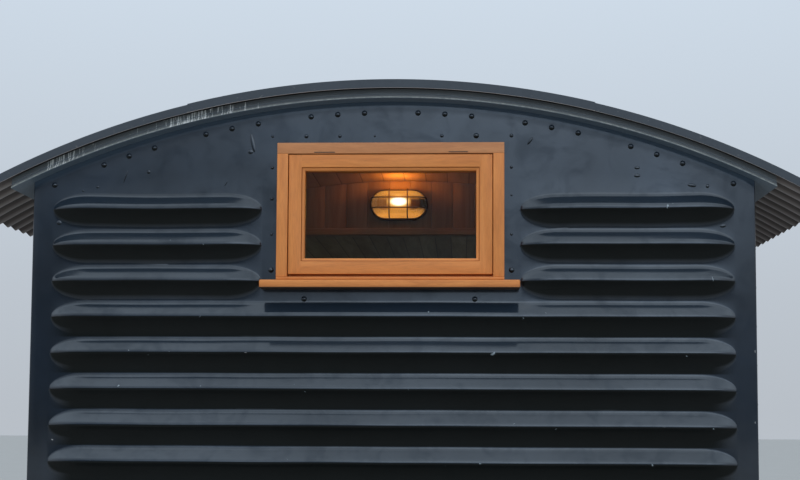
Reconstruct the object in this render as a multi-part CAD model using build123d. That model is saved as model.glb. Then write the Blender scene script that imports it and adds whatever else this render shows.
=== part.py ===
from build123d import *
import os
from math import asin, cos, pi, sin, sqrt

# A grounded railway goods van used as a tiny house, in millimetres.
# X runs across the van, Y along it and Z up. The photographed end faces -Y.
# The origin lies on the ground, under the middle of the body.

# Steel body
body_width = 2440
body_length = 5334
side_top_height = 2366
end_top_height = 2641
skin_thickness = 4
lining_thickness = 60

# Underframe and floor
sleeper_count = 4
sleeper_length = 2400
sleeper_width = 250
sleeper_height = 130
sleeper_end_inset = 350
sill_depth = 230
sill_flange = 75
sill_web = 9
crossbearer_count = 5
crossbearer_depth = 150
crossbearer_flange = 70
deck_thickness = 40

# Pressed ribs of the steel skins
rib_count = 15
rib_pitch = 121.8
rib_top_crest = 2273
rib_depth = 30
rib_rise = 56
rib_fall = 65
rib_crest_land = 9
rib_taper = 140
rib_margin = 70
short_rib_count = 3
short_rib_inner_end = 437
rib_nose_stations = (0.05, 0.35, 1.0)

# Arched roof
shell_thickness = 4
shell_end_overhang = 50
shell_side_overhang = 60
roof_edge_height = 32
roof_edge_thickness = 6
roof_edge_setback = 8
sheet_thickness = 2
sheet_end_overhang = 62
corrugation_pitch = 76.2
corrugation_depth = 17
eave_half_width = 1467
sheet_seam_half_width = 672
sheet_facets = 3
barge_height = 28
barge_thickness = 3
barge_cover = 70
batten_width = 60
batten_places = (-1180, -600, 0, 600, 1180)
hoop_count = 4
hoop_depth = 60
hoop_width = 50
ceiling_thickness = 12

# End windows
window_width = 764
window_height = 463
window_bottom = 2031
window_frame_face = 37
window_frame_foot = 16
window_frame_proud = 30
window_sash_gap = 3
window_sash_rail = 45
window_sash_setback = 4
window_sash_depth = 45
window_stop = 14
glass_bead = 15
glass_thickness = 20
glass_setback = 14
sill_length = 866
sill_thickness = 36
sill_proud = 62

# Side doorways
doorway_width = 1500
doorway_height = 1850
door_post_width = 40
door_frame_face = 45
door_frame_proud = 12
door_stop = 14
door_leaf_gap = 4
door_leaf_depth = 45
door_leaf_setback = 20
door_stile = 95
door_foot_rail = 180
door_panel_height = 560
door_panel_recess = 12

# Inner partition with its lamp
partition_distance = 1000
partition_thickness = 40
partition_opening_width = 1600
partition_rail_bottom = 2334
partition_rail_height = 30
partition_rail_proud = 18
partition_rail_end = 40
lamp_offset = -25
lamp_height = 2462
lamp_length = 248
lamp_width = 132
lamp_base_depth = 24
lamp_rim = 14
lamp_glass_depth = 52
lamp_bar = 6
lamp_bar_spread = 76
lamp_bar_levels = 43
lamp_bar_rise = 14
lamp_end_facets = 6

# Worked out from the sizes above
half_width = body_width / 2
half_length = body_length / 2
inner_half_width = half_width - skin_thickness - lining_thickness
inner_half_length = half_length - skin_thickness - lining_thickness
sill_top = sleeper_height + sill_depth
floor_top = sill_top + deck_thickness
arch_rise = end_top_height - side_top_height
arch_radius = (half_width**2 + arch_rise**2) / (2 * arch_rise)
arch_centre = end_top_height - arch_radius
ceiling_outer = arch_radius - hoop_depth
ceiling_inner = ceiling_outer - ceiling_thickness
lining_top = arch_centre + sqrt(ceiling_outer**2 - inner_half_width**2)
sheet_inner = arch_radius + roof_edge_height
sheet_run = half_length + sheet_end_overhang
roof_edge_run = half_length + shell_end_overhang - roof_edge_setback
door_head = floor_top + doorway_height

FRONT = Rot(0, 0, 0)
REAR = Rot(0, 0, 180)
LEFT = Rot(0, 0, -90)
RIGHT = Rot(0, 0, 90)


def block(x_low, x_high, y_low, y_high, z_low, z_high):
    size = Box(x_high - x_low, y_high - y_low, z_high - z_low)
    return Pos((x_low + x_high) / 2, (y_low + y_high) / 2, (z_low + z_high) / 2) * size


def upright(outline, y_low, y_high):
    # An outline drawn in X and Z, given its thickness along Y.
    return Pos(0, y_high, 0) * extrude(Plane.XZ * outline, y_high - y_low)


def pane(x_low, x_high, z_low, z_high):
    size = Rectangle(x_high - x_low, z_high - z_low)
    return Pos((x_low + x_high) / 2, (z_low + z_high) / 2) * size


def under_arch(radius, x_low, x_high, z_low):
    # A plate outline that fills the space under an arch of the roof's centre.
    return pane(x_low, x_high, z_low, arch_centre + radius + 1) & (Pos(0, arch_centre) * Circle(radius))


def arch_band(inner, outer, x_low, x_high, y_low, y_high):
    # A curved sheet or bar round the roof's centre, with plumb cut ends.
    ring = Pos(0, arch_centre) * (Circle(outer) - Circle(inner))
    outline = ring & pane(x_low, x_high, 0, arch_centre + outer + 1)
    return upright(outline, y_low, y_high)


def faceted(outlines):
    # A closed solid with flat faces through a row of like outlines.
    faces = [Face(Wire.make_polygon(outlines[0])), Face(Wire.make_polygon(outlines[-1]))]
    for near, far in zip(outlines, outlines[1:]):
        for number in range(len(near)):
            after = (number + 1) % len(near)
            corners = [near[number], near[after], far[after], far[number]]
            faces.append(Face(Wire.make_polygon(corners)))
    return Solid(Shell(faces))


def rib_outline(x, face_y, crest, share):
    # One cross section of a pressed rib, shrunk to its share near the nose.
    land = rib_crest_land / 2
    profile = [(0, rib_rise), (rib_depth, land), (rib_depth, -land), (0, -rib_fall)]
    outline = [Vector(x, face_y - depth * share, crest + height * share) for depth, height in profile]
    root = face_y + skin_thickness / 2
    return [Vector(x, root, outline[0].Z)] + outline + [Vector(x, root, outline[-1].Z)]


def rib(x_low, x_high, face_y, crest):
    # The crest runs level to the noses, and the slopes close in an ellipse.
    spots = [(rib_taper * station, sqrt(1 - (1 - station) ** 2)) for station in rib_nose_stations]
    start = [(x_low + distance, share) for distance, share in spots]
    end = [(x_high - distance, share) for distance, share in reversed(spots)]
    return faceted([rib_outline(x, face_y, crest, share) for x, share in start + end])


def rib_hollow(x_low, x_high, face_y, crest):
    # The groove behind a rib, along its full section.
    land = rib_crest_land / 2
    depth = rib_depth - skin_thickness
    rise = rib_rise - skin_thickness
    fall = rib_fall - skin_thickness
    back = -skin_thickness - 1
    profile = [(back, rise), (0, rise), (depth, land), (depth, -land), (0, -fall), (back, -fall)]
    reach = (x_low + rib_taper, x_high - rib_taper)
    return faceted([[Vector(x, face_y - out, crest + height) for out, height in profile] for x in reach])


def pressed(plate, spans, face_y):
    # A steel plate with ribs pressed outwards, hollow behind.
    ribs = [rib(x_low, x_high, face_y, crest) for x_low, x_high, crest in spans]
    hollows = [rib_hollow(x_low, x_high, face_y, crest) for x_low, x_high, crest in spans]
    return plate + ribs - hollows


def rib_crests():
    return [rib_top_crest - rib_pitch * number for number in range(rib_count)]


def window_cut(y_low, y_high):
    half = window_width / 2
    return block(-half, half, y_low, y_high, window_bottom, window_bottom + window_height)


def end_skin():
    reach = half_width - rib_margin
    spans = []
    for number, crest in enumerate(rib_crests()):
        if number < short_rib_count:
            spans.append((-reach, -short_rib_inner_end, crest))
            spans.append((short_rib_inner_end, reach, crest))
        else:
            spans.append((-reach, reach, crest))
    outline = under_arch(arch_radius, -half_width, half_width, sill_top)
    plate = upright(outline, -half_length, -half_length + skin_thickness)
    plate = plate - window_cut(-half_length - 1, -half_length + skin_thickness + 1)
    return pressed(plate, spans, -half_length)


def side_skin(x_low, x_high):
    plate = block(x_low, x_high, -half_width, -half_width + skin_thickness, sill_top, side_top_height)
    spans = [(x_low + rib_margin, x_high - rib_margin, crest) for crest in rib_crests()]
    return pressed(plate, spans, -half_width)


def end_lining():
    outline = under_arch(arch_radius, -inner_half_width, inner_half_width, floor_top)
    plate = upright(outline, -half_length + skin_thickness, -inner_half_length)
    return plate - window_cut(-half_length, -inner_half_length + 1)


def side_lining():
    half_gap = doorway_width / 2 + door_post_width
    plate = block(
        -inner_half_length, inner_half_length,
        -half_width + skin_thickness, -inner_half_width,
        floor_top, lining_top,
    )
    return plate - block(-half_gap, half_gap, -half_width, -inner_half_width + 1, floor_top, door_head)


def channel(length, depth, flange, web):
    # A channel along X whose web faces -Y, standing on Z = 0.
    outer = block(-length / 2, length / 2, 0, flange, 0, depth)
    return outer - block(-length / 2, length / 2, web, flange, web, depth - web)


def sleepers():
    reach = half_length - sleeper_end_inset
    step = 2 * reach / (sleeper_count - 1)
    timber = block(-sleeper_length / 2, sleeper_length / 2, -sleeper_width / 2, sleeper_width / 2, 0, sleeper_height)
    timber = chamfer(timber.edges().filter_by(Axis.X).group_by(Axis.Z)[-1], 8)
    return [Pos(0, step * number - reach, 0) * timber for number in range(sleeper_count)]


def headstocks():
    bar = Pos(0, -half_length, sleeper_height) * channel(body_width, sill_depth, sill_flange, sill_web)
    return [FRONT * bar, REAR * bar]


def solebars():
    length = body_length - 2 * sill_flange
    bar = Pos(0, -half_width, sleeper_height) * channel(length, sill_depth, sill_flange, sill_web)
    return [LEFT * bar, RIGHT * bar]


def crossbearers():
    # Channels between the solebars, hung under the deck.
    reach = half_length - sleeper_end_inset
    step = 2 * reach / (crossbearer_count - 1)
    length = body_width - 2 * sill_flange
    bar = Pos(0, 0, sill_top - crossbearer_depth) * channel(length, crossbearer_depth, crossbearer_flange, sill_web)
    return [Pos(0, step * number - reach - crossbearer_flange / 2, 0) * bar for number in range(crossbearer_count)]


def floor_deck():
    reach = half_width - skin_thickness
    run = half_length - skin_thickness
    return block(-reach, reach, -run, run, sill_top, floor_top)


def body_posts():
    corner = block(0, lining_thickness, 0, lining_thickness, floor_top, side_top_height)
    corner = corner - block(
        2 * skin_thickness, lining_thickness,
        2 * skin_thickness, lining_thickness,
        floor_top, side_top_height,
    )
    corner = Pos(-half_width + skin_thickness, -half_length + skin_thickness, 0) * corner
    post = block(
        -doorway_width / 2 - door_post_width, -doorway_width / 2,
        -half_width + skin_thickness, -inner_half_width,
        floor_top, door_head,
    )
    other = mirror(corner, Plane.YZ)
    twin = mirror(post, Plane.YZ)
    corners = [turn * piece for turn in (FRONT, REAR) for piece in (corner, other)]
    posts = [turn * piece for turn in (LEFT, RIGHT) for piece in (post, twin)]
    return corners + posts


def cantrails():
    rail = block(
        -inner_half_length, inner_half_length,
        -half_width + skin_thickness, -inner_half_width,
        lining_top, side_top_height,
    )
    rail = rail - block(
        -inner_half_length, inner_half_length,
        -half_width + 3 * skin_thickness, -inner_half_width,
        lining_top, side_top_height - 2 * skin_thickness,
    )
    return [LEFT * rail, RIGHT * rail]


def door_headers():
    plate = block(
        -doorway_width / 2, doorway_width / 2,
        -half_width, -half_width + skin_thickness,
        door_head, side_top_height,
    )
    return [LEFT * plate, RIGHT * plate]


def roof_hoops():
    step = 2 * (inner_half_length - hoop_width / 2) / (hoop_count - 1)
    hoop = arch_band(ceiling_outer, arch_radius, -inner_half_width, inner_half_width, -hoop_width / 2, hoop_width / 2)
    first = -inner_half_length + hoop_width / 2
    return [Pos(0, first + step * number, 0) * hoop for number in range(hoop_count)]


def ceiling_lining():
    return arch_band(
        ceiling_inner, ceiling_outer,
        -inner_half_width, inner_half_width,
        -inner_half_length, inner_half_length,
    )


def roof_shell():
    reach = half_width + shell_side_overhang
    run = half_length + shell_end_overhang
    return arch_band(arch_radius, arch_radius + shell_thickness, -reach, reach, -run, run)


def roof_edges():
    # An upstand near each end of the steel roof, which hides the battens.
    reach = half_width + shell_side_overhang
    band = arch_band(
        arch_radius + shell_thickness, sheet_inner,
        -reach, reach,
        -roof_edge_run, -roof_edge_run + roof_edge_thickness,
    )
    return [FRONT * band, REAR * band]


def roof_battens():
    # Timber bars along the van between its own roof and the sheets.
    run = roof_edge_run - roof_edge_thickness
    bars = []
    for place in batten_places:
        bars.append(
            arch_band(
                arch_radius + shell_thickness, sheet_inner,
                place - batten_width / 2, place + batten_width / 2,
                -run, run,
            )
        )
    return bars


def sheet_profile():
    # The corrugations along the van, as distance along it and height.
    steps = 2 * round(2 * sheet_run / corrugation_pitch)
    places = [(2 * number / steps - 1) * sheet_run for number in range(steps + 1)]
    lower = [(place, corrugation_depth * (number % 2)) for number, place in enumerate(places)]
    upper = [(place, height + sheet_thickness) for place, height in reversed(lower)]
    return lower + upper


def roof_sheet(x_low, x_high, facets):
    # Corrugations bent round the arch in flat lengths, which touch the battens' circle.
    first = asin(x_low / sheet_inner)
    turn = (asin(x_high / sheet_inner) - first) / facets
    inner = sheet_inner / cos(turn / 2)
    outlines = []
    for number in range(facets + 1):
        angle = first + turn * number
        across, up = sin(angle), cos(angle)
        outlines.append([
            Vector((inner + height) * across, place, arch_centre + (inner + height) * up)
            for place, height in sheet_profile()
        ])
    return faceted(outlines)


def roof_barges():
    # Folded caps over the ends of the sheets, round the whole arch.
    outer = sheet_inner + barge_height
    cap = arch_band(
        sheet_inner, outer,
        -eave_half_width, eave_half_width,
        -sheet_run - barge_thickness, -sheet_run + barge_cover,
    )
    cap = cap - arch_band(
        sheet_inner - 1, outer - barge_thickness,
        -eave_half_width, eave_half_width,
        -sheet_run, -sheet_run + barge_cover,
    )
    return [FRONT * cap, REAR * cap]


def sash_faces():
    # The outer and inner face of the sash, which closes against the frame's stop.
    face_y = -half_length - window_frame_proud + window_sash_setback
    return face_y, face_y + window_sash_depth


def sash_box(inset, y_low, y_high):
    # A block that fills the window frame, less an inset all round.
    half = window_width / 2 - window_frame_face - inset
    low = window_bottom + window_frame_foot + inset
    high = window_bottom + window_height - window_frame_face - inset
    return block(-half, half, y_low, y_high, low, high)


def window_frame():
    half = window_width / 2
    face_y = -half_length - window_frame_proud
    sash_back = sash_faces()[1]
    frame = block(-half, half, face_y, -inner_half_length, window_bottom, window_bottom + window_height)
    frame = frame - sash_box(0, face_y, sash_back)
    return frame - sash_box(window_stop, sash_back, -inner_half_length)


def window_sash():
    face_y, back_y = sash_faces()
    light = window_sash_gap + window_sash_rail
    sash = sash_box(window_sash_gap, face_y, back_y)
    sash = sash - sash_box(light, face_y, back_y)
    bead = sash_box(light, face_y + glass_setback / 2, back_y)
    return sash + (bead - sash_box(light + glass_bead, face_y, back_y))


def window_glass():
    face_y = sash_faces()[0] + glass_setback
    light = window_sash_gap + window_sash_rail + glass_bead
    return sash_box(light, face_y, face_y + glass_thickness)


def window_sill():
    nose_y = -half_length - sill_proud
    sill = block(-sill_length / 2, sill_length / 2, nose_y, -half_length, window_bottom - sill_thickness, window_bottom)
    return fillet(sill.edges().filter_by(Axis.X).group_by(Axis.Y)[0], 5)


def leaf_faces():
    # The outer and inner face of the leaves, which close against the frame's stop.
    face_y = -half_width - door_frame_proud + door_leaf_setback
    return face_y, face_y + door_leaf_depth


def doorway_box(inset, y_low, y_high):
    # A block that fills the door frame, less an inset all round.
    half = doorway_width / 2 - door_frame_face - inset
    low = floor_top + door_frame_face + inset
    return block(-half, half, y_low, y_high, low, door_head - door_frame_face - inset)


def door_frame():
    half = doorway_width / 2
    face_y = -half_width - door_frame_proud
    leaf_back = leaf_faces()[1]
    frame = block(-half, half, face_y, -inner_half_width, floor_top, door_head)
    frame = frame - doorway_box(0, face_y, leaf_back)
    return frame - doorway_box(door_stop, leaf_back, -inner_half_width)


def door_leaf_span():
    outer = doorway_width / 2 - door_frame_face - door_leaf_gap
    return door_leaf_gap / 2, outer


def door_leaf():
    near, far = door_leaf_span()
    low = floor_top + door_frame_face + door_leaf_gap
    high = door_head - door_frame_face - door_leaf_gap
    face_y, back_y = leaf_faces()
    panel_low = low + door_foot_rail
    panel_high = panel_low + door_panel_height
    leaf = block(near, far, face_y, back_y, low, high)
    leaf = leaf - block(near + door_stile, far - door_stile, face_y, back_y, panel_high + door_stile, high - door_stile)
    for y_low, y_high in ((face_y, face_y + door_panel_recess), (back_y - door_panel_recess, back_y)):
        leaf = leaf - block(near + door_stile, far - door_stile, y_low, y_high, panel_low, panel_high)
    return leaf


def door_leaves():
    leaf = door_leaf()
    return [leaf, mirror(leaf, Plane.YZ)]


def door_glass():
    near, far = door_leaf_span()
    low = floor_top + door_frame_face + door_leaf_gap + door_foot_rail + door_panel_height + door_stile
    high = door_head - door_frame_face - door_leaf_gap - door_stile
    middle = sum(leaf_faces()) / 2
    glass = block(
        near + door_stile, far - door_stile,
        middle - glass_thickness / 2, middle + glass_thickness / 2,
        low, high,
    )
    return [glass, mirror(glass, Plane.YZ)]


def partition():
    outline = under_arch(ceiling_inner, -inner_half_width, inner_half_width, floor_top)
    half = partition_opening_width / 2
    outline = outline - pane(-half, half, floor_top, partition_rail_bottom)
    face_y = -half_length + partition_distance
    return upright(outline, face_y, face_y + partition_thickness)


def partition_rail():
    reach = partition_opening_width / 2 + partition_rail_end
    face_y = -half_length + partition_distance
    rail = block(
        -reach, reach,
        face_y - partition_rail_proud, face_y,
        partition_rail_bottom, partition_rail_bottom + partition_rail_height,
    )
    return fillet(rail.edges().filter_by(Axis.X).group_by(Axis.Y)[0], 4)


def lamp_place():
    return Pos(lamp_offset, -half_length + partition_distance, lamp_height)


def lamp_oval(shrink, depth):
    # A flat-backed oval with facetted ends on the partition, standing out towards -Y.
    radius = lamp_width / 2 - shrink
    straight = (lamp_length - lamp_width) / 2
    turns = [pi * (number / lamp_end_facets - 0.5) for number in range(lamp_end_facets + 1)]
    right = [(straight + radius * cos(turn), radius * sin(turn)) for turn in turns]
    left = [(-across, up) for across, up in reversed(right)]
    return extrude(Plane.XZ * Polygon(*right, *left, align=None), depth)


def lamp_base():
    base = lamp_oval(0, lamp_base_depth)
    return lamp_place() * chamfer(base.edges().group_by(Axis.Y)[0], 5)


def lamp_glass():
    glass = Pos(0, -lamp_base_depth, 0) * lamp_oval(lamp_rim, lamp_glass_depth)
    return lamp_place() * chamfer(glass.edges().group_by(Axis.Y)[0], 18)


def lamp_guard():
    # Two bars each way over the glass, turned back to the base at their ends.
    front = lamp_base_depth + lamp_glass_depth + lamp_bar_rise
    guard = lamp_oval(lamp_rim / 2 - lamp_bar / 2, lamp_base_depth + lamp_bar)
    guard = guard - lamp_oval(lamp_rim / 2 + lamp_bar / 2, lamp_base_depth + lamp_bar)
    guard = guard - block(-lamp_length, lamp_length, -lamp_base_depth, 0, -lamp_width, lamp_width)
    reach_x = lamp_length / 2 - lamp_rim / 2
    reach_z = lamp_width / 2 - lamp_rim / 2
    half = lamp_bar / 2
    for side in (-1, 1):
        across = side * lamp_bar_spread / 2
        guard = guard + hoop_bar(across - half, across + half, -reach_z, reach_z, front)
        level = side * lamp_bar_levels / 2
        guard = guard + flat_bar(-reach_x, reach_x, level - half, level + half, front)
    return lamp_place() * guard


def hoop_bar(x_low, x_high, z_low, z_high, front):
    outer = block(x_low, x_high, -front, -lamp_base_depth, z_low, z_high)
    return outer - block(x_low, x_high, -front + lamp_bar, -lamp_base_depth, z_low + lamp_bar, z_high - lamp_bar)


def flat_bar(x_low, x_high, z_low, z_high, front):
    outer = block(x_low, x_high, -front, -lamp_base_depth, z_low, z_high)
    return outer - block(x_low + lamp_bar, x_high - lamp_bar, -front + lamp_bar, -lamp_base_depth, z_low, z_high)


def save(name, shape):
    solids = shape if isinstance(shape, list) else [shape]
    export_step(Compound(children=[Compound(children=list(piece.solids())) for piece in solids]), f"parts/{name}.step")


def main():
    os.makedirs("parts", exist_ok=True)
    save("sleepers", sleepers())
    save("headstocks", headstocks())
    save("solebars", solebars())
    save("crossbearers", crossbearers())
    save("floor_deck", floor_deck())

    skin = end_skin()
    lining = end_lining()
    for name, turn in (("front", FRONT), ("rear", REAR)):
        save(f"end_skin_{name}", turn * skin)
        save(f"end_lining_{name}", turn * lining)
        save(f"window_frame_{name}", turn * window_frame())
        save(f"window_sash_{name}", turn * window_sash())
        save(f"window_glass_{name}", turn * window_glass())
        save(f"window_sill_{name}", turn * window_sill())

    panel = side_skin(doorway_width / 2, half_length - skin_thickness)
    twin = mirror(panel, Plane.YZ)
    for name, turn, front, rear in (("left", LEFT, panel, twin), ("right", RIGHT, twin, panel)):
        save(f"side_skin_{name}_front", turn * front)
        save(f"side_skin_{name}_rear", turn * rear)
        save(f"side_lining_{name}", turn * side_lining())
        save(f"door_frame_{name}", turn * door_frame())
        save(f"door_leaves_{name}", [turn * leaf for leaf in door_leaves()])
        save(f"door_glass_{name}", [turn * glass for glass in door_glass()])

    save("door_headers", door_headers())
    save("body_posts", body_posts())
    save("cantrails", cantrails())
    save("roof_hoops", roof_hoops())
    save("ceiling_lining", ceiling_lining())
    save("roof_shell", roof_shell())
    save("roof_edges", roof_edges())
    save("roof_battens", roof_battens())

    side_sheet = roof_sheet(sheet_seam_half_width, eave_half_width, sheet_facets)
    save("roof_sheet_right", side_sheet)
    save("roof_sheet_left", REAR * side_sheet)
    save("roof_sheet_centre", roof_sheet(-sheet_seam_half_width, sheet_seam_half_width, sheet_facets + 1))
    save("roof_barges", roof_barges())

    save("partition", partition())
    save("partition_rail", partition_rail())
    save("lamp_base", lamp_base())
    save("lamp_glass", lamp_glass())
    save("lamp_guard", lamp_guard())


main()
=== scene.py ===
import bpy
import math
from mathutils import Matrix, Vector, noise


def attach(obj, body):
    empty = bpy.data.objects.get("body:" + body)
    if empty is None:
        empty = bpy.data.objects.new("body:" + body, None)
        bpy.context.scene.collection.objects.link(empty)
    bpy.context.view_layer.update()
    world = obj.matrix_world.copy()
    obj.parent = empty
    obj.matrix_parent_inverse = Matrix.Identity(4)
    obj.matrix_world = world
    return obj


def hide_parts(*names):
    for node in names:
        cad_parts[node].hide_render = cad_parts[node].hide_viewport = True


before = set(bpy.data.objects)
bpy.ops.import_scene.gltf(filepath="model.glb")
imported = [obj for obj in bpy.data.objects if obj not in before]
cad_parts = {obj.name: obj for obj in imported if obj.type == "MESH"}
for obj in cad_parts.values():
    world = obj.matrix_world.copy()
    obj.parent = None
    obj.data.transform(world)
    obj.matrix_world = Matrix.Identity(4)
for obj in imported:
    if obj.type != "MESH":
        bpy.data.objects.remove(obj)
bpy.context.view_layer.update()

# Sizes that several pieces share, in metres.
van = {
    "halfWidth": 1.220, "halfLength": 2.667, "skinFoot": 0.360, "floorTop": 0.400,
    "innerHalfWidth": 1.156, "innerHalfLength": 2.603,
    "archRadius": 2.84372, "archCentre": -0.20272, "ceilingInner": 2.77172, "sheetInner": 2.87572,
    "sink": 0.0005,
}

rib = {
    "count": 15, "pitch": 0.1218, "topCrest": 2.273, "depth": 0.030, "rise": 0.0555, "fall": 0.0655,
    "rootRadius": 0.026, "crestRadius": 0.026, "lipRadius": 0.007, "skin": 0.004,
    "taper": 0.120, "margin": 0.070, "noseSteps": 12, "shortCount": 3, "shortEnd": 0.437,
}

roof = {
    "edgeRun": 2.709, "edgeThickness": 0.006, "shellRun": 2.717, "shellHalf": 1.280, "shellThickness": 0.004,
    "sheetRun": 2.729, "sheetHalf": 1.467, "seamHalf": 0.672, "lap": 0.075, "play": 0.0006,
    "pitch": 0.0758, "depth": 0.017, "sheetThickness": 0.0012, "perPitch": 8,
    "bargeTop": 0.0275, "bargeCover": 0.070, "bargeThickness": 0.003, "bargeStep": 0.0025, "bargeSetback": 0.0013,
}

quarter = math.pi / 2


def clearSelection():
    if bpy.context.object and bpy.context.object.mode != "OBJECT":
        bpy.ops.object.mode_set(mode="OBJECT")
    bpy.ops.object.select_all(action="DESELECT")


def makeActive(piece):
    clearSelection()
    piece.select_set(True)
    bpy.context.view_layer.objects.active = piece


def pick(piece, kind="faces", test=lambda *place: True):
    # Goes to edit mode with only the faces or vertices that pass the test selected.
    makeActive(piece)
    mesh = piece.data
    for row in (mesh.vertices, mesh.edges, mesh.polygons):
        row.foreach_set("select", [False] * len(row))
    if kind == "faces":
        for face in mesh.polygons:
            face.select = test(face.center, face.normal)
    else:
        for vertex in mesh.vertices:
            vertex.select = test(vertex.co)
    bpy.context.tool_settings.mesh_select_mode = (kind == "vertices", False, kind == "faces")
    bpy.ops.object.mode_set(mode="EDIT")


def leaveEdit():
    bpy.ops.object.mode_set(mode="OBJECT")


def flipFaces(piece):
    pick(piece)
    bpy.ops.mesh.flip_normals()
    leaveEdit()


def cutPiece(piece, place, normal, **settings):
    pick(piece)
    bpy.ops.mesh.bisect(plane_co=place, plane_no=normal, **settings)
    leaveEdit()


def applyModifier(piece, kind, **settings):
    makeActive(piece)
    modifier = piece.modifiers.new(kind.lower(), kind)
    for key, value in settings.items():
        setattr(modifier, key, value)
    bpy.ops.object.modifier_apply(modifier=modifier.name)
    return piece


def roundEdges(piece, width, segments=2, angle=35):
    limit = math.radians(angle)
    return applyModifier(piece, "BEVEL", width=width, segments=segments, limit_method="ANGLE", angle_limit=limit)


def thicken(piece, amount):
    return applyModifier(piece, "SOLIDIFY", thickness=amount, offset=-1.0)


def addBox(name, low, high):
    clearSelection()
    size = [b - a for a, b in zip(low, high)]
    centre = [(a + b) / 2 for a, b in zip(low, high)]
    bpy.ops.mesh.primitive_cube_add(size=1, location=centre, scale=size)
    piece = bpy.context.object
    piece.name = name
    makeActive(piece)
    bpy.ops.object.transform_apply(location=True, rotation=True, scale=True)
    return piece


def addRing(name, low, high, holeLow, holeHigh):
    # A frame round an opening along Y: both faces are inset, fitted to the hole and bridged.
    piece = addBox(name, low, high)
    pick(piece, "faces", lambda centre, normal: abs(normal.y) > 0.5)
    inset = 0.004
    bpy.ops.mesh.inset(thickness=inset, depth=0)
    wide = (holeHigh[0] - holeLow[0]) / (high[0] - low[0] - 2 * inset)
    tall = (holeHigh[1] - holeLow[1]) / (high[2] - low[2] - 2 * inset)
    middle = [(a + b) / 2 for a, b in zip(low, high)]
    bpy.ops.transform.resize(value=(wide, 1, tall), center_override=middle)
    shift = ((holeLow[0] + holeHigh[0]) / 2 - middle[0], 0, (holeLow[1] + holeHigh[1]) / 2 - middle[2])
    bpy.ops.transform.translate(value=shift)
    bpy.ops.mesh.bridge_edge_loops()
    leaveEdit()
    return piece


def joinPieces(name, pieces):
    clearSelection()
    for piece in pieces:
        piece.select_set(True)
    bpy.context.view_layer.objects.active = pieces[0]
    if len(pieces) > 1:
        bpy.ops.object.join()
    joined = bpy.context.object
    joined.name = name
    return joined


def copyPiece(name, piece, turn=0.0, place=None, mirrored=False):
    # A copy with its own mesh, turned about the upright axis through the origin or put at its place.
    twin = piece.copy()
    twin.data = piece.data.copy()
    bpy.context.collection.objects.link(twin)
    twin.name = name
    place = (place or Matrix()) @ Matrix.Rotation(turn, 4, "Z")
    if mirrored:
        place = place @ Matrix.Scale(-1, 4, (1, 0, 0))
    twin.data.transform(place)
    if mirrored:
        flipFaces(twin)
    return twin


def finishPiece(piece, material, nodes=(), smooth=35):
    # A piece made of several timbers keeps the materials that it has.
    makeActive(piece)
    bpy.ops.object.shade_smooth_by_angle(angle=math.radians(smooth))
    if material:
        piece.data.materials.clear()
        piece.data.materials.append(material)
    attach(piece, "root")
    if nodes:
        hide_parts(*nodes)


def archHeight(across, radius=van["archRadius"]):
    return van["archCentre"] + math.sqrt(radius ** 2 - across ** 2)


def fractions(count):
    return [step / count for step in range(count + 1)]


def fill(tree, node, values):
    # Each input takes a link or a constant.
    for key, value in values.items():
        socket = node.inputs[key]
        if isinstance(value, bpy.types.NodeSocket):
            tree.links.new(value, socket)
        elif socket.type == "RGBA" and isinstance(value, tuple):
            socket.default_value = (*value, 1)
        else:
            socket.default_value = value
    return node


def addNode(tree, kind, values, **settings):
    made = tree.nodes.new(kind)
    for key, value in settings.items():
        setattr(made, key, value)
    return fill(tree, made, values)


def ramp(tree, source, stops):
    # A colour ramp from stops of place and colour, or place and value.
    made = addNode(tree, "ShaderNodeValToRGB", {"Fac": source})
    elements = made.color_ramp.elements
    while len(elements) < len(stops):
        elements.new(0.5)
    for element, (place, tone) in zip(elements, stops):
        element.position = place
        element.color = (*tone, 1) if isinstance(tone, tuple) else (tone, tone, tone, 1)
    return made.outputs["Color"]


def blend(tree, amount, first, second, mode="MIX"):
    made = addNode(tree, "ShaderNodeMix", {0: amount, 6: first, 7: second}, data_type="RGBA", blend_type=mode)
    return made.outputs[2]


def shadeBy(tree, colour, factor):
    return blend(tree, 1.0, colour, factor, "MULTIPLY")


def calc(tree, operation, *terms, clamp=False):
    return addNode(tree, "ShaderNodeMath", dict(enumerate(terms)), operation=operation, use_clamp=clamp).outputs[0]


def times(tree, result, *factors):
    for factor in factors:
        result = calc(tree, "MULTIPLY", result, factor)
    return result


def span(tree, value, low=0.0, high=1.0, toLow=0.0, toHigh=1.0, **settings):
    values = {"Value": value, "From Min": low, "From Max": high, "To Min": toLow, "To Max": toHigh}
    return addNode(tree, "ShaderNodeMapRange", values, **settings).outputs["Result"]


def noiseOf(tree, place, size, detail=2.0, rough=0.5, distort=0.0):
    values = {"Vector": place, "Scale": size, "Detail": detail, "Roughness": rough, "Distortion": distort}
    return addNode(tree, "ShaderNodeTexNoise", values).outputs["Fac"]


def splitVector(tree, vector):
    return addNode(tree, "ShaderNodeSeparateXYZ", {"Vector": vector}).outputs


def stretched(tree, place, scale):
    return addNode(tree, "ShaderNodeMapping", {"Vector": place, "Scale": scale}).outputs["Vector"]


def lengthOf(tree, across, up):
    return calc(tree, "SQRT", calc(tree, "ADD", times(tree, across, across), times(tree, up, up)))


def archDistance(tree, parts):
    # How far a place lies from the middle of the roof's arch.
    return lengthOf(tree, parts["X"], calc(tree, "SUBTRACT", parts["Z"], van["archCentre"]))


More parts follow.
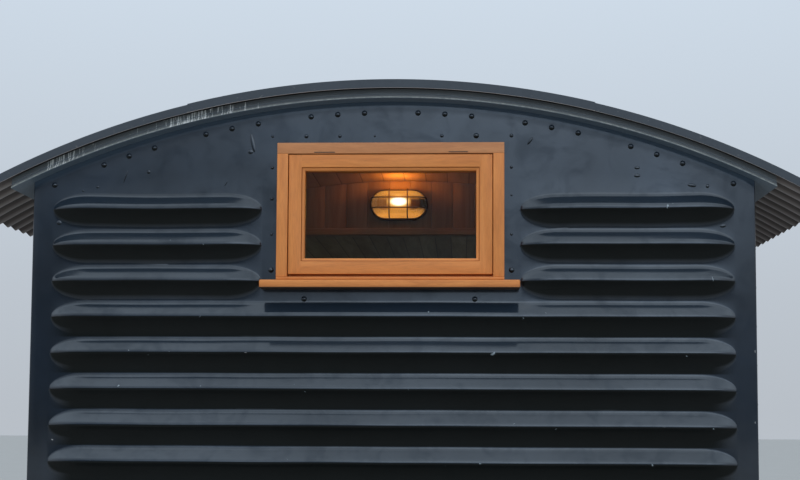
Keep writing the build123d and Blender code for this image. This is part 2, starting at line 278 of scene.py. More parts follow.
def newGroup(name, inputs, outputs):
    # Number inputs with their values, or a vector where there is none, and number outputs.
    group = bpy.data.node_groups.new(name, "ShaderNodeTree")
    for label, value in inputs.items():
        kind = "NodeSocketVector" if value is None else "NodeSocketFloat"
        socket = group.interface.new_socket(name=label, in_out="INPUT", socket_type=kind)
        if value is not None:
            socket.default_value = value
    for label in outputs:
        group.interface.new_socket(name=label, in_out="OUTPUT", socket_type="NodeSocketFloat")
    return group, group.nodes.new("NodeGroupInput").outputs, group.nodes.new("NodeGroupOutput")


def useGroup(tree, group, values):
    made = tree.nodes.new("ShaderNodeGroup")
    made.node_tree = group
    return fill(tree, made, values).outputs


def newMaterial(name):
    material = bpy.data.materials.new(name)
    material.use_nodes = True
    tree = material.node_tree
    place = addNode(tree, "ShaderNodeTexCoord", {}).outputs["Object"]
    return material, tree, tree.nodes["Principled BSDF"], place


def finishShader(tree, shader, colour, rough, height, strength, distance):
    bump = addNode(tree, "ShaderNodeBump", {"Height": height, "Strength": strength, "Distance": distance})
    fill(tree, shader, {"Base Color": colour, "Roughness": rough, "Normal": bump.outputs["Normal"]})


def makeCloudGroup():
    # Slow cloudy tone and fine grain, for paint and steel.
    group, entry, leave = newGroup("cloudyTone", {"Vector": None, "Size": 3.0, "Fine": 60.0}, ["Cloud", "Grain"])
    cloud = noiseOf(group, entry["Vector"], entry["Size"], 5.0, 0.6, 0.4)
    grain = noiseOf(group, entry["Vector"], entry["Fine"], 3.0, 0.55)
    fill(group, leave, {"Cloud": cloud, "Grain": grain})
    return group


def makeSpotGroup():
    # Small scattered spots, for chips, pits and specks.
    inputs = {"Vector": None, "Size": 30.0, "Share": 0.1, "Softness": 0.04}
    group, entry, leave = newGroup("scatteredSpots", inputs, ["Mask"])
    spots = noiseOf(group, entry["Vector"], entry["Size"], distort=0.6)
    edge = calc(group, "SUBTRACT", 0.78, entry["Share"])
    end = calc(group, "ADD", edge, entry["Softness"])
    fill(group, leave, {"Mask": span(group, spots, edge, end)})
    return group


def makeGrainGroup():
    # Timber grain along one axis, from a vector whose long axis is squeezed.
    group, entry, leave = newGroup("timberGrain", {"Vector": None, "Size": 12.0, "Wander": 1.2}, ["Rings", "Pores"])
    rings = noiseOf(group, entry["Vector"], entry["Size"], 4.0, 0.62, entry["Wander"])
    pores = noiseOf(group, entry["Vector"], times(group, entry["Size"], 9.0), 3.0, 0.7)
    fill(group, leave, {"Rings": rings, "Pores": pores})
    return group


def makeBoardGroup():
    # Boards side by side along one axis: a tone for each, and a mask of the joints between them.
    group, entry, leave = newGroup("boardJoints", {"Place": 0.0, "Width": 0.09}, ["Tone", "Joint"])
    scaled = calc(group, "DIVIDE", entry["Place"], entry["Width"])
    cell = calc(group, "FLOOR", scaled)
    chance = addNode(group, "ShaderNodeTexWhiteNoise", {"W": cell}, noise_dimensions="1D").outputs["Value"]
    part = calc(group, "FRACT", scaled)
    edge = times(group, calc(group, "MINIMUM", part, calc(group, "SUBTRACT", 1.0, part)), entry["Width"])
    tone = span(group, chance, toLow=0.80, toHigh=1.08)
    fill(group, leave, {"Tone": tone, "Joint": span(group, edge, 0.0022, 0.0008)})
    return group


def makeWeatherGroup():
    # A mask of the surfaces that look up, and one of those that look down. They carry painted light and painted shade.
    group, entry, leave = newGroup("weatherSide", {"Soft": 0.35, "Under": 0.35}, ["Up", "Down"])
    normal = addNode(group, "ShaderNodeNewGeometry", {}).outputs["Normal"]
    up = splitVector(group, normal)["Z"]
    down = span(group, times(group, up, -1.0), 0.01, entry["Under"])
    fill(group, leave, {"Up": span(group, up, 0.05, entry["Soft"]), "Down": down})
    return group


cloudyTone = makeCloudGroup()
scatteredSpots = makeSpotGroup()
timberGrain = makeGrainGroup()
weatherSide = makeWeatherGroup()
boardJoints = makeBoardGroup()


def cloudsOf(tree, place, size, fine):
    return useGroup(tree, cloudyTone, {"Vector": place, "Size": size, "Fine": fine})


def spotsOf(tree, place, size, share, softness):
    return useGroup(tree, scatteredSpots, {"Vector": place, "Size": size, "Share": share, "Softness": softness})["Mask"]


def makeBodyPaint():
    # Glossy dark slate blue paint over old pressed steel. Faces that look down and the hollows under the ribs take
    # painted shade, darker and without the clear gloss.
    look = {
        "lit": (0.0092, 0.0176, 0.0300), "deep": (0.0054, 0.0096, 0.0155), "dusty": (0.0150, 0.0245, 0.0360),
        "sheltered": (0.0028, 0.0040, 0.0032), "band": (0.014, 0.022, 0.033), "seam": (0.050, 0.078, 0.112),
        "bare": (0.22, 0.26, 0.28), "pit": (0.010, 0.013, 0.018),
        "bandDrop": 0.056, "bandWander": 0.030, "bandEdge": 0.012, "seamDrop": (0.024, 0.008),
        "hollow": (0.585, 0.555), "hollowWander": 0.03, "hollowInset": (0.055, 0.155), "crestDepth": 0.006,
        "dentAt": 0.455, "dentReach": (0.13, 0.04), "dentFloor": 2.0,
    }
    material, tree, shader, place = newMaterial("bodyPaint")
    parts = splitVector(tree, place)
    across, along = [calc(tree, "ABSOLUTE", parts[axis]) for axis in "XY"]
    onEnd = calc(tree, "GREATER_THAN", along, van["halfLength"] - 0.002)
    tone = cloudsOf(tree, place, 1.9, 45.0)
    colour = blend(tree, ramp(tree, tone["Cloud"], [(0.36, 0.0), (0.66, 1.0)]), look["deep"], look["lit"])
    side = useGroup(tree, weatherSide, {"Soft": 0.45, "Under": 0.24})
    # Faces that look up take a paler blue: dust and painted light.
    colour = blend(tree, times(tree, side["Up"], 0.55), colour, look["dusty"])
    # A band of painted shade under the roof edge, above the line of rivets, with less clear gloss, and a pale line of
    # painted light where the wall meets the edge.
    radius = archDistance(tree, parts)
    edge = calc(tree, "MULTIPLY_ADD", tone["Cloud"], look["bandWander"], van["archRadius"] - look["bandDrop"])
    band = times(tree, span(tree, calc(tree, "SUBTRACT", radius, edge), 0.0, look["bandEdge"]), onEnd)
    colour = blend(tree, times(tree, band, 0.7), colour, look["band"])
    # The pale line is painted light, lifting the deep shade just under the roof edge.
    seam = span(tree, radius, *[van["archRadius"] - drop for drop in look["seamDrop"]])
    colour = blend(tree, times(tree, seam, onEnd), colour, look["seam"])
    # Painted shade in the hollow between one full rib and the root of the next, down to a line that wanders a little.
    below = calc(tree, "DIVIDE", calc(tree, "SUBTRACT", rib["topCrest"], parts["Z"]), rib["pitch"])
    phase = calc(tree, "FRACT", calc(tree, "MULTIPLY_ADD", tone["Cloud"], look["hollowWander"], below))
    fullRibs = calc(tree, "GREATER_THAN", below, float(rib["shortCount"]))
    ends = [van["halfWidth"] - inset for inset in look["hollowInset"]]
    inside = span(tree, across, *ends, interpolation_type="SMOOTHSTEP")
    hollow = times(tree, span(tree, phase, *look["hollow"]), fullRibs, inside, onEnd)
    # Painted shade: faces that look down and those hollows.
    sheltered = times(tree, calc(tree, "MAXIMUM", side["Down"], hollow), 0.94)
    colour = blend(tree, sheltered, colour, look["sheltered"])
    crests = [
        calc(tree, "GREATER_THAN", reach, half + rib["depth"] - look["crestDepth"])
        for reach, half in ((along, van["halfLength"]), (across, van["halfWidth"]))
    ]
    specks = times(tree, spotsOf(tree, place, 34.0, 0.045, 0.02), calc(tree, "MAXIMUM", *crests))
    colour = blend(tree, specks, colour, look["bare"])
    pits = spotsOf(tree, place, 17.0, 0.02, 0.03)
    colour = blend(tree, pits, colour, look["pit"])
    gloss = calc(tree, "SUBTRACT", 1.0, calc(tree, "MAXIMUM", sheltered, times(tree, band, 0.30)), clamp=True)
    smudge = ramp(tree, noiseOf(tree, place, 9.0, 6.0, 0.66, 0.8), [(0.34, 0.66), (0.52, 1.0)])
    gloss = times(tree, gloss, ramp(tree, tone["Cloud"], [(0.30, 0.72), (0.70, 1.0)]), smudge)
    height = calc(tree, "MULTIPLY_ADD", noiseOf(tree, place, 130.0, 1.0), 0.035, noiseOf(tree, place, 5.0, 4.0))
    height = calc(tree, "MULTIPLY_ADD", pits, -0.12, height)
    # Dents between the short ribs and the window.
    fromDents = calc(tree, "ABSOLUTE", calc(tree, "SUBTRACT", across, look["dentAt"]))
    high = calc(tree, "GREATER_THAN", parts["Z"], look["dentFloor"])
    dented = times(tree, span(tree, fromDents, *look["dentReach"]), high, 1.3)
    height = calc(tree, "MULTIPLY_ADD", noiseOf(tree, place, 11.0, 3.0, 0.45), dented, height)
    finishShader(tree, shader, colour, span(tree, tone["Grain"], 0.3, 0.7, 0.30, 0.42), height, 0.55, 0.0052)
    fill(tree, shader, {"Specular IOR Level": 0.15, "Coat Weight": gloss, "Coat Roughness": 0.11, "Coat IOR": 1.7})
    return material


def makeFramePaint():
    # Dull black paint with rust that comes through.
    material, tree, shader, place = newMaterial("framePaint")
    tone = cloudsOf(tree, place, 6.0, 70.0)
    colour = blend(tree, tone["Cloud"], (0.008, 0.0085, 0.009), (0.026, 0.025, 0.024))
    colour = blend(tree, spotsOf(tree, place, 11.0, 0.19, 0.08), colour, (0.085, 0.034, 0.014))
    rough = span(tree, tone["Grain"], toLow=0.45, toHigh=0.8)
    finishShader(tree, shader, colour, rough, tone["Grain"], 0.4, 0.0015)
    return material


def makeRoofEdgeSteel():
    # Weathered grey paint. Towards one corner it is scratched in upright streaks to bright galvanised steel.
    look = {
        "paint": (0.056, 0.064, 0.070), "faded": (0.112, 0.124, 0.126), "bare": (0.50, 0.52, 0.50),
        "lip": (0.25, 0.26, 0.24), "under": (0.105, 0.142, 0.178), "lipBand": (0.0065, 0.0035),
        "streaks": (150.0, 3.0, 14.0), "streaksEnd": 1.30,
        "streakZone": [
            (0.040, 0.0), (0.055, 1.0), (0.102, 1.0), (0.125, 0.25), (0.185, 0.25),
            (0.215, 1.0), (0.290, 0.9), (0.345, 0.0), (1.0, 0.0),
        ],
    }
    material, tree, shader, place = newMaterial("roofEdgeSteel")
    tone = cloudsOf(tree, place, 5.0, 90.0)
    colour = blend(tree, tone["Cloud"], look["paint"], look["faded"])
    parts = splitVector(tree, place)
    above = calc(tree, "SUBTRACT", archDistance(tree, parts), van["archRadius"])
    # A pale line along the lip is a painted highlight, broken up by the grain.
    brokenHighlight = ramp(tree, tone["Grain"], [(0.40, 0.35), (0.62, 1.0)])
    colour = blend(tree, times(tree, span(tree, above, *look["lipBand"]), brokenHighlight), colour, look["lip"])
    streaks = noiseOf(tree, stretched(tree, place, look["streaks"]), 1.0, 2.5, 0.6, 0.7)
    zone = ramp(tree, span(tree, parts["X"], -look["streaksEnd"], look["streaksEnd"]), look["streakZone"])
    limit = calc(tree, "MULTIPLY_ADD", zone, -0.20, 0.72)
    scratched = span(tree, calc(tree, "SUBTRACT", streaks, limit), 0.0, 0.06)
    front = calc(tree, "LESS_THAN", parts["Y"], -van["halfLength"])
    bare = times(tree, scratched, front, calc(tree, "GREATER_THAN", zone, 0.02))
    colour = blend(tree, bare, colour, look["bare"])
    # Faces that look down take a lighter blue grey than the top: painted light on the shaded undersides.
    side = useGroup(tree, weatherSide, {"Soft": 0.4, "Under": 0.5})
    colour = blend(tree, side["Down"], colour, look["under"])
    rough = span(tree, tone["Grain"], toLow=0.35, toHigh=0.62)
    finishShader(tree, shader, colour, rough, tone["Grain"], 0.3, 0.001)
    return material


def makeRoofSheetSteel():
    # Matt dark grey coated sheet with pale lichen specks.
    look = {
        "deep": (0.028, 0.034, 0.042), "worn": (0.050, 0.060, 0.072), "speck": (0.16, 0.16, 0.15),
        "dust": [
            (0.0, (0.075, 0.064, 0.060)), (0.55, (0.135, 0.112, 0.102)),
            (0.88, (0.30, 0.265, 0.245)), (1.0, (0.40, 0.365, 0.345)),
        ],
    }
    material, tree, shader, place = newMaterial("roofSheetSteel")
    tone = cloudsOf(tree, place, 2.2, 55.0)
    colour = blend(tree, tone["Cloud"], look["deep"], look["worn"])
    colour = blend(tree, times(tree, spotsOf(tree, place, 60.0, 0.10, 0.05), 0.4), colour, look["speck"])
    # Undersides take brown dust and painted light: lighter than the top, with a painted highlight along the crests that
    # hang lowest and painted shade in the hollows between them.
    fromEnd = calc(tree, "ADD", splitVector(tree, place)["Y"], roof["sheetRun"])
    wave = calc(tree, "COSINE", times(tree, fromEnd, math.tau / roof["pitch"]))
    dust = ramp(tree, calc(tree, "MULTIPLY_ADD", wave, 0.5, 0.5), look["dust"])
    side = useGroup(tree, weatherSide, {"Soft": 0.4, "Under": 0.4})
    colour = blend(tree, side["Down"], colour, dust)
    rough = span(tree, tone["Grain"], toLow=0.42, toHigh=0.66)
    finishShader(tree, shader, colour, rough, tone["Grain"], 0.25, 0.001)
    return material


def makeTimber(name, finish, grainAxis, jointAxis=None, underside=1.0):
    # Timber with its grain along one axis, in boards if an axis for their joints is given.
    material, tree, shader, place = newMaterial(name)
    squeeze = [0.10 if axis == grainAxis else 1.0 for axis in "XYZ"]
    grain = useGroup(tree, timberGrain, {"Vector": stretched(tree, place, squeeze), "Size": finish["size"]})
    colour = ramp(tree, grain["Rings"], list(zip((0.30, 0.50, 0.70), finish["tones"])))
    colour = shadeBy(tree, colour, ramp(tree, grain["Pores"], [(0.30, 0.86), (0.55, 1.0)]))
    colour = shadeBy(tree, colour, ramp(tree, noiseOf(tree, place, 2.0), [(0.3, 0.90), (0.7, 1.0)]))
    # A darker underside is painted shade.
    if underside < 1:
        down = useGroup(tree, weatherSide, {})["Down"]
        colour = shadeBy(tree, colour, ramp(tree, down, [(0.0, 1.0), (1.0, underside)]))
    height = grain["Pores"]
    if jointAxis:
        joints = useGroup(tree, boardJoints, {"Place": splitVector(tree, place)[jointAxis]})
        colour = shadeBy(tree, colour, joints["Tone"])
        colour = blend(tree, times(tree, joints["Joint"], 0.8), colour, (0.02, 0.012, 0.007))
        height = calc(tree, "MULTIPLY_ADD", joints["Joint"], -1.5, height)
    rough = span(tree, grain["Pores"], 0.0, 1.0, *finish["rough"])
    finishShader(tree, shader, colour, rough, height, finish["bump"], 0.001)
    return material


def makeGlass():
    material, tree, shader, place = newMaterial("windowGlass")
    smear = span(tree, noiseOf(tree, place, 9.0, 3.0), 0.55, 0.8, 0.0, 0.03)
    fill(tree, shader, {"Roughness": smear, "Base Color": (0.90, 0.94, 0.93), "Transmission Weight": 1.0, "IOR": 1.16})
    return material


def makeLampGlass():
    # Pressed glass, lit from inside: a pale core, amber above and below it and smoky at its sides.
    look = {
        "core": (1.0, 0.95, 0.72), "halo": (0.75, 0.42, 0.10), "amber": (0.42, 0.165, 0.025),
        "far": (0.20, 0.078, 0.016), "rim": (0.42, 0.16, 0.026),
        "smokyLeft": (0.115, 0.045, 0.011), "smokyRight": (0.006, 0.003, 0.001),
        "middle": (-0.025, 2.462), "coreRise": 0.011, "coreSize": (0.034, 0.018),
    }
    material, tree, shader, place = newMaterial("lampGlass")
    parts = splitVector(tree, place)
    across, up = [calc(tree, "SUBTRACT", parts[axis], middle) for axis, middle in zip("XZ", look["middle"])]
    wide, tall = [calc(tree, "ABSOLUTE", part) for part in (across, up)]
    amber = [(0.0, look["amber"]), (0.40, look["amber"]), (1.0, look["far"])]
    glow = ramp(tree, calc(tree, "MULTIPLY", wide, 9.0, clamp=True), amber)
    smoky = blend(tree, calc(tree, "GREATER_THAN", across, 0.0), look["smokyLeft"], look["smokyRight"])
    glow = blend(tree, times(tree, span(tree, wide, 0.030, 0.056), span(tree, tall, 0.032, 0.016)), glow, smoky)
    ridges = addNode(tree, "ShaderNodeTexWave", {"Vector": place, "Scale": 42.0}, bands_direction="X").outputs["Fac"]
    glow = shadeBy(tree, glow, ramp(tree, ridges, [(0.0, 0.78), (1.0, 1.0)]))
    glow = blend(tree, span(tree, up, -0.038, -0.048), glow, look["rim"])
    coreX = calc(tree, "DIVIDE", across, look["coreSize"][0])
    coreZ = calc(tree, "DIVIDE", calc(tree, "SUBTRACT", up, look["coreRise"]), look["coreSize"][1])
    fromCore = lengthOf(tree, coreX, coreZ)
    bright = [(0.0, look["core"]), (0.36, look["core"]), (0.62, look["halo"])]
    core = ramp(tree, calc(tree, "MULTIPLY", fromCore, 0.5, clamp=True), bright)
    glow = blend(tree, span(tree, fromCore, 1.6, 0.9), glow, core)
    rough = span(tree, ridges, toLow=0.1, toHigh=0.25)
    finishShader(tree, shader, (0.05, 0.03, 0.015), rough, ridges, 0.5, 0.002)
    fill(tree, shader, {"Emission Color": glow, "Emission Strength": 1.6})
    return material


def makeGrainySteel(name, sizes, tones, roughness, bump, metallic=0.0):
    material, tree, shader, place = newMaterial(name)
    tone = cloudsOf(tree, place, *sizes)
    rough = span(tree, tone["Grain"], 0.0, 1.0, *roughness)
    finishShader(tree, shader, blend(tree, tone["Cloud"], *tones), rough, tone["Grain"], bump, 0.0005)
    shader.inputs["Metallic"].default_value = metallic
    return material


orangeStain = {
    "tones": ((0.59, 0.190, 0.040), (0.705, 0.240, 0.053), (0.775, 0.280, 0.066)),
    "size": 30.0, "rough": (0.46, 0.62), "bump": 0.12,
}
# The heads of the window frames take a darker, browner stain: painted shade from the roof above.
headShadeStain = dict(orangeStain, tones=((0.47, 0.178, 0.062), (0.555, 0.222, 0.080), (0.62, 0.262, 0.100)))
oiledPine = {
    "tones": ((0.35, 0.240, 0.105), (0.46, 0.335, 0.160), (0.54, 0.410, 0.210)),
    "size": 14.0, "rough": (0.5, 0.7), "bump": 0.3,
}
darkOil = {
    "tones": ((0.030, 0.022, 0.016), (0.065, 0.048, 0.035), (0.115, 0.090, 0.068)),
    "size": 16.0, "rough": (0.75, 0.95), "bump": 0.9,
}

bodyPaint = makeBodyPaint()
framePaint = makeFramePaint()
roofEdgeSteel = makeRoofEdgeSteel()
roofSheetSteel = makeRoofSheetSteel()
timberAcross = makeTimber("stainedTimberAcross", orangeStain, "X")
# The sill's underside is darkened: painted shade.
timberSill = makeTimber("stainedTimberSill", orangeStain, "X", underside=0.05)
# Painted shade on the frame heads.
timberHeadShade = makeTimber("stainedTimberHeadShade", headShadeStain, "X")
timberUpright = makeTimber("stainedTimberUpright", orangeStain, "Z")
timberAlong = makeTimber("stainedTimberAlong", orangeStain, "Y")
boardUpright = makeTimber("liningBoardUpright", oiledPine, "Z")
boardLevel = makeTimber("liningBoardLevel", oiledPine, "Y", "X")
boardWall = makeTimber("liningBoardWall", oiledPine, "Y", "Z")
boardEnd = makeTimber("liningBoardEnd", oiledPine, "X", "Z")
boardAlong = makeTimber("plainTimberAlong", oiledPine, "Y")
boardAcross = makeTimber("plainTimberAcross", oiledPine, "X")
sleeperTimber = makeTimber("sleeperTimber", darkOil, "X")
windowGlass = makeGlass()
lampGlassLit = makeLampGlass()
# The warm orange brown is painted light from the lamp, on dark metal.
lampMetal = makeGrainySteel(
    "lampMetal", (30.0, 220.0), ((0.045, 0.024, 0.011), (0.110, 0.062, 0.028)), (0.35, 0.6), 0.3, 0.6,
)
# Bare spots in the paint, dull and a little rusty.
chippedSteel = makeGrainySteel(
    "chippedSteel", (60.0, 300.0), ((0.16, 0.15, 0.14), (0.52, 0.53, 0.53)), (0.4, 0.7), 0.4,
)
print("materials made")


pressing = {
    "above": (1.0, 0.8, 0.55, 0.3), "foot": (0.5, 1.0), "tipAbove": 0.03, "tipBelow": 0.16,
    "sway": 0.0022, "uneven": 0.03, "wave": 0.0010, "noseGap": 0.005,
}


def ribSection():
    # Height above the crest and depth out of the wall, from the top to the bottom.
    depth, rise = rib["depth"], rib["rise"]
    root, crest, lip = rib["rootRadius"], rib["crestRadius"], rib["lipRadius"]

    def sag(radius, turn):
        return radius * (1 - math.cos(turn))

    # Two rounds of opposite sense meet at one slope, an angle from the wall.
    radii = root + crest
    upper = math.atan2(depth - radii, rise) + math.asin(radii / math.hypot(rise, depth - radii))
    points = [(rise - root * math.sin(upper * part), sag(root, upper * part)) for part in fractions(5)]
    for part in fractions(6):
        turn = upper * (1 - part)
        points.append((crest * math.sin(turn), depth - sag(crest, turn)))
    # Below the crest the sheet turns sharply under, then runs back in one long hollow.
    lower = 2 * math.atan(depth / rib["fall"])
    points += [(-lip * math.sin(lower * part), depth - sag(lip, lower * part)) for part in fractions(4)[1:]]
    hollow = (depth - sag(lip, lower)) / (1 - math.cos(lower))
    foot = -(lip + hollow) * math.sin(lower)
    for part in fractions(7)[1:]:
        turn = lower * (1 - part)
        points.append((foot + hollow * math.sin(turn), sag(hollow, turn)))
    return points


def noseShare(distance):
    # How full the outline of a rib is at a distance from its tip.
    station = min(max(distance / rib["taper"], 0.0), 1.0)
    return math.sqrt(1 - (1 - station) ** 2)


def spread(first, last, step):
    count = max(1, round((last - first) / step))
    return [first + (last - first) * number / count for number in range(count)]


def noseColumns(tip, inward):
    return [tip + inward * rib["taper"] * (1 - math.cos(step * quarter)) for step in fractions(rib["noseSteps"])]


def pressedWall(name, columns, ribSpans, topOf, hole, waveEnd, seed):
    # A grid whose rows follow the ribs and whose columns crowd at the noses.
    section = ribSection()
    rows = [(number, height, depth) for number in range(rib["count"]) for height, depth in section]
    above, foot = pressing["above"], pressing["foot"]
    ribsEnd = len(above) + len(rows)
    holeRow = len(above) + (rib["shortCount"] - 1) * len(section)
    clearSelection()
    bpy.ops.mesh.primitive_grid_add(
        x_subdivisions=len(columns) - 1, y_subdivisions=ribsEnd + len(foot) - 1, size=2,
    )
    wall = bpy.context.object
    wall.name = name
    mesh = wall.data

    def rowPlace(row, across):
        # Height and depth of one row at one column.
        atHole = hole and abs(across) <= hole[0] + 1e-6
        if row < len(above):
            start = rowPlace(len(above), across)[0]
            height = start + (topOf(across) - start) * above[row]
            return (hole[2] if atHole and row == 2 else height), 0.0
        if row >= ribsEnd:
            start = rowPlace(ribsEnd - 1, across)[0]
            return start + (van["skinFoot"] - start) * foot[row - ribsEnd], 0.0
        number, height, depth = rows[row - len(above)]
        low, high = ribSpans(number, across)
        full = noseShare(min(across - low, high - across))
        tip = pressing["tipAbove"] if height > 0 else pressing["tipBelow"]
        sway = pressing["sway"] * noise.noise(Vector((across * 3.2, number * 5.3, seed)))
        if number == 0:
            sway *= 2.0
        place = rib["topCrest"] - rib["pitch"] * number + height * (tip + (1 - tip) * full) + sway * full
        uneven = pressing["uneven"] * noise.noise(Vector((across * 2.1, number * 3.1, seed + 9)))
        out = depth * full ** 1.5 * (1 + uneven)
        return (hole[1] if atHole and row == holeRow else place), min(out, rib["depth"])

    for vertex in mesh.vertices:
        row, column = divmod(vertex.index, len(columns))
        across, back = columns[column]
        height, out = rowPlace(row, across)
        wave = 0.0
        if abs(across) <= waveEnd:
            wave = pressing["wave"] * noise.noise(Vector((across * 1.7, height * 1.9, seed + 3)))
            wave = min(max(wave, -pressing["wave"]), pressing["wave"])
        vertex.co = (across, back + wave - out, height)
    mesh.update()
    if hole:
        pick(wall, "faces", lambda centre, normal: abs(centre.x) < hole[0] and hole[1] < centre.z < hole[2])
        bpy.ops.mesh.delete(type="FACE")
        leaveEdit()
    if sum(face.normal.y * face.area for face in mesh.polygons) > 0:
        flipFaces(wall)
    return wall


endPanel = {"corner": 0.0045, "hole": (0.382, 2.031, 2.494), "flatEnd": 0.02}


def endColumns():
    half, corner, hole = van["halfWidth"], endPanel["corner"], endPanel["hole"][0]
    gap, taper, inner = pressing["noseGap"], rib["taper"], rib["shortEnd"]
    tip = half - rib["margin"]
    right = spread(0.0, hole, 0.05) + [hole, 0.41, inner - gap] + noseColumns(inner, 1)
    right += spread(inner + taper, tip - taper, 0.04)[1:] + noseColumns(tip, -1)[::-1]
    right += [tip + gap, tip + 0.03, half - corner]
    right = [(across, 0.0) for across in right]
    for turn in (math.radians(angle) for angle in (30, 60, 90)):
        right.append((half - corner + corner * math.sin(turn), corner * (1 - math.cos(turn))))
    return [(-across, back) for across, back in right[:0:-1]] + right


def endSpans(number, across):
    reach = van["halfWidth"] - rib["margin"]
    if number >= rib["shortCount"]:
        return -reach, reach
    return (rib["shortEnd"], reach) if across > 0 else (-reach, -rib["shortEnd"])


def makeEnds():
    flatEnd = van["halfWidth"] - endPanel["flatEnd"]
    wall = pressedWall("endWallFront", endColumns(), endSpans, archHeight, endPanel["hole"], flatEnd, 0.0)
    wall.data.transform(Matrix.Translation((0, -van["halfLength"], 0)))
    thicken(wall, rib["skin"])
    rear = copyPiece("endWallRear", wall, math.pi)
    finishPiece(wall, bodyPaint, ["end_skin_front"], 40)
    finishPiece(rear, bodyPaint, ["end_skin_rear"], 40)


sidePanel = {"doorHalf": 0.750, "end": 2.657, "ribsEnd": 2.663, "top": 2.366, "seed": 20.0}


def sideColumns(first, last):
    gap, taper, start = pressing["noseGap"], rib["taper"], sidePanel["doorHalf"]
    across = [start, start + 0.04, first - gap] + noseColumns(first, 1)
    across += spread(first + taper, last - taper, 0.12)[1:] + noseColumns(last, -1)[::-1]
    return [(place, 0.0) for place in across + [last + gap, last + 0.04, sidePanel["end"]]]


def makeSides():
    first, last = sidePanel["doorHalf"] + rib["margin"], sidePanel["ribsEnd"] - rib["margin"]
    panel = pressedWall(
        "sideWall", sideColumns(first, last), lambda number, across: (first, last), lambda across: sidePanel["top"],
        None, sidePanel["end"], sidePanel["seed"],
    )
    panel.data.transform(Matrix.Translation((0, -van["halfWidth"], 0)))
    thicken(panel, rib["skin"])
    for side, turn, frontFlip in (("Left", -quarter, False), ("Right", quarter, True)):
        for end, flip in (("Front", frontFlip), ("Rear", not frontFlip)):
            twin = copyPiece("side" + side + end, panel, turn, mirrored=flip)
            finishPiece(twin, bodyPaint, ["side_skin_" + side.lower() + "_" + end.lower()], 40)
    bpy.data.objects.remove(panel)


makeEnds()
makeSides()
print("pressed walls made")


def spunBar(name, profile, halfWidth):
    # A section at the crown, given as corners of radius and Y, spun round the arch and cut plumb.
    clearSelection()
    bpy.ops.mesh.primitive_circle_add(vertices=len(profile), radius=1, fill_type="NGON")
    bar = bpy.context.object
    bar.name = name
    for vertex, (radius, along) in zip(bar.data.vertices, profile):
        vertex.co = (0, along, van["archCentre"] + radius)
    bar.data.update()
    pick(bar)
    turn = math.asin(min(1.0, (halfWidth + 0.02) / min(radius for radius, along in profile)))
    bpy.ops.mesh.spin(steps=60, angle=turn, center=(0, 0, van["archCentre"]), axis=(0, 1, 0))
    pick(bar, "faces", lambda centre, normal: abs(centre.x) < 1e-4)
    bpy.ops.mesh.delete(type="ONLY_FACE")
    leaveEdit()
    side = 1 if sum(vertex.co.x for vertex in bar.data.vertices) > 0 else -1
    cutPiece(bar, (side * halfWidth, 0, 0), (side, 0, 0), use_fill=True, clear_outer=True)
    applyModifier(bar, "MIRROR", merge_threshold=0.0002)
    pick(bar)
    bpy.ops.mesh.remove_doubles(threshold=0.00005)
    bpy.ops.mesh.normals_make_consistent(inside=False)
    leaveEdit()
    return bar


def oblong(inner, outer, near, far):
    return [(inner, near), (outer, near), (outer, far), (inner, far)]


def makeShell():
    foot, run = van["archRadius"] + roof["shellThickness"], roof["shellRun"]
    shell = spunBar("roofShell", oblong(van["archRadius"], foot, -run, run), roof["shellHalf"])
    roundEdges(shell, 0.001, 2, 50)
    finishPiece(shell, roofEdgeSteel, ["roof_shell"], 15)
    # The upstand leans out to the roof's edge at its foot: height over the shell and step forward.
    near = -roof["edgeRun"]
    lean = (
        (0.0150, 0.0), (0.0135, 0.0025), (0.0110, 0.0025), (0.0100, 0.0008),
        (0.0060, 0.0012), (0.0035, 0.0062), (0.0, 0.0070), (0.0, -roof["edgeThickness"]),
    )
    section = [(van["sheetInner"], near)] + [(foot + up, near - step) for up, step in lean]
    section.append((van["sheetInner"], near + roof["edgeThickness"]))
    front = spunBar("roofEdgeBar", section, roof["shellHalf"])
    edges = joinPieces("roofEdges", [front, copyPiece("roofEdgeBarRear", front, math.pi)])
    finishPiece(edges, roofEdgeSteel, ["roof_edges"], 15)


def corrugatedSheet(name, low, high, layer, segments):
    # Sine corrugations along the van, bent round the arch.
    alongCount = round(2 * roof["sheetRun"] / roof["pitch"]) * roof["perPitch"]
    clearSelection()
    bpy.ops.mesh.primitive_grid_add(x_subdivisions=alongCount, y_subdivisions=segments, size=2)
    sheet = bpy.context.object
    sheet.name = name
    first, last = [math.asin(half / van["sheetInner"]) for half in (low, high)]
    inner = van["sheetInner"] + layer * (roof["sheetThickness"] + roof["play"])
    for vertex in sheet.data.vertices:
        across, along = divmod(vertex.index, alongCount + 1)
        angle = first + (last - first) * across / segments
        radius = inner + roof["depth"] / 2 * (1 - math.cos(math.tau * along / roof["perPitch"]))
        place = roof["sheetRun"] * (2 * along / alongCount - 1)
        vertex.co = (radius * math.sin(angle), place, van["archCentre"] + radius * math.cos(angle))
    sheet.data.update()
    if sum(face.normal.z * face.area for face in sheet.data.polygons) < 0:
        flipFaces(sheet)
    return thicken(sheet, roof["sheetThickness"])


def makeSheets():
    seam = roof["seamHalf"]
    right = corrugatedSheet("roofSheetRight", seam - 0.02, roof["sheetHalf"] - 0.004, 1, 10)
    left = copyPiece("roofSheetLeft", right, mirrored=True)
    centre = corrugatedSheet("roofSheetCentre", -seam - roof["lap"], seam + roof["lap"], 2, 18)
    for sheet, node in ((right, "roof_sheet_right"), (left, "roof_sheet_left"), (centre, "roof_sheet_centre")):
        finishPiece(sheet, roofSheetSteel, [node], 60)


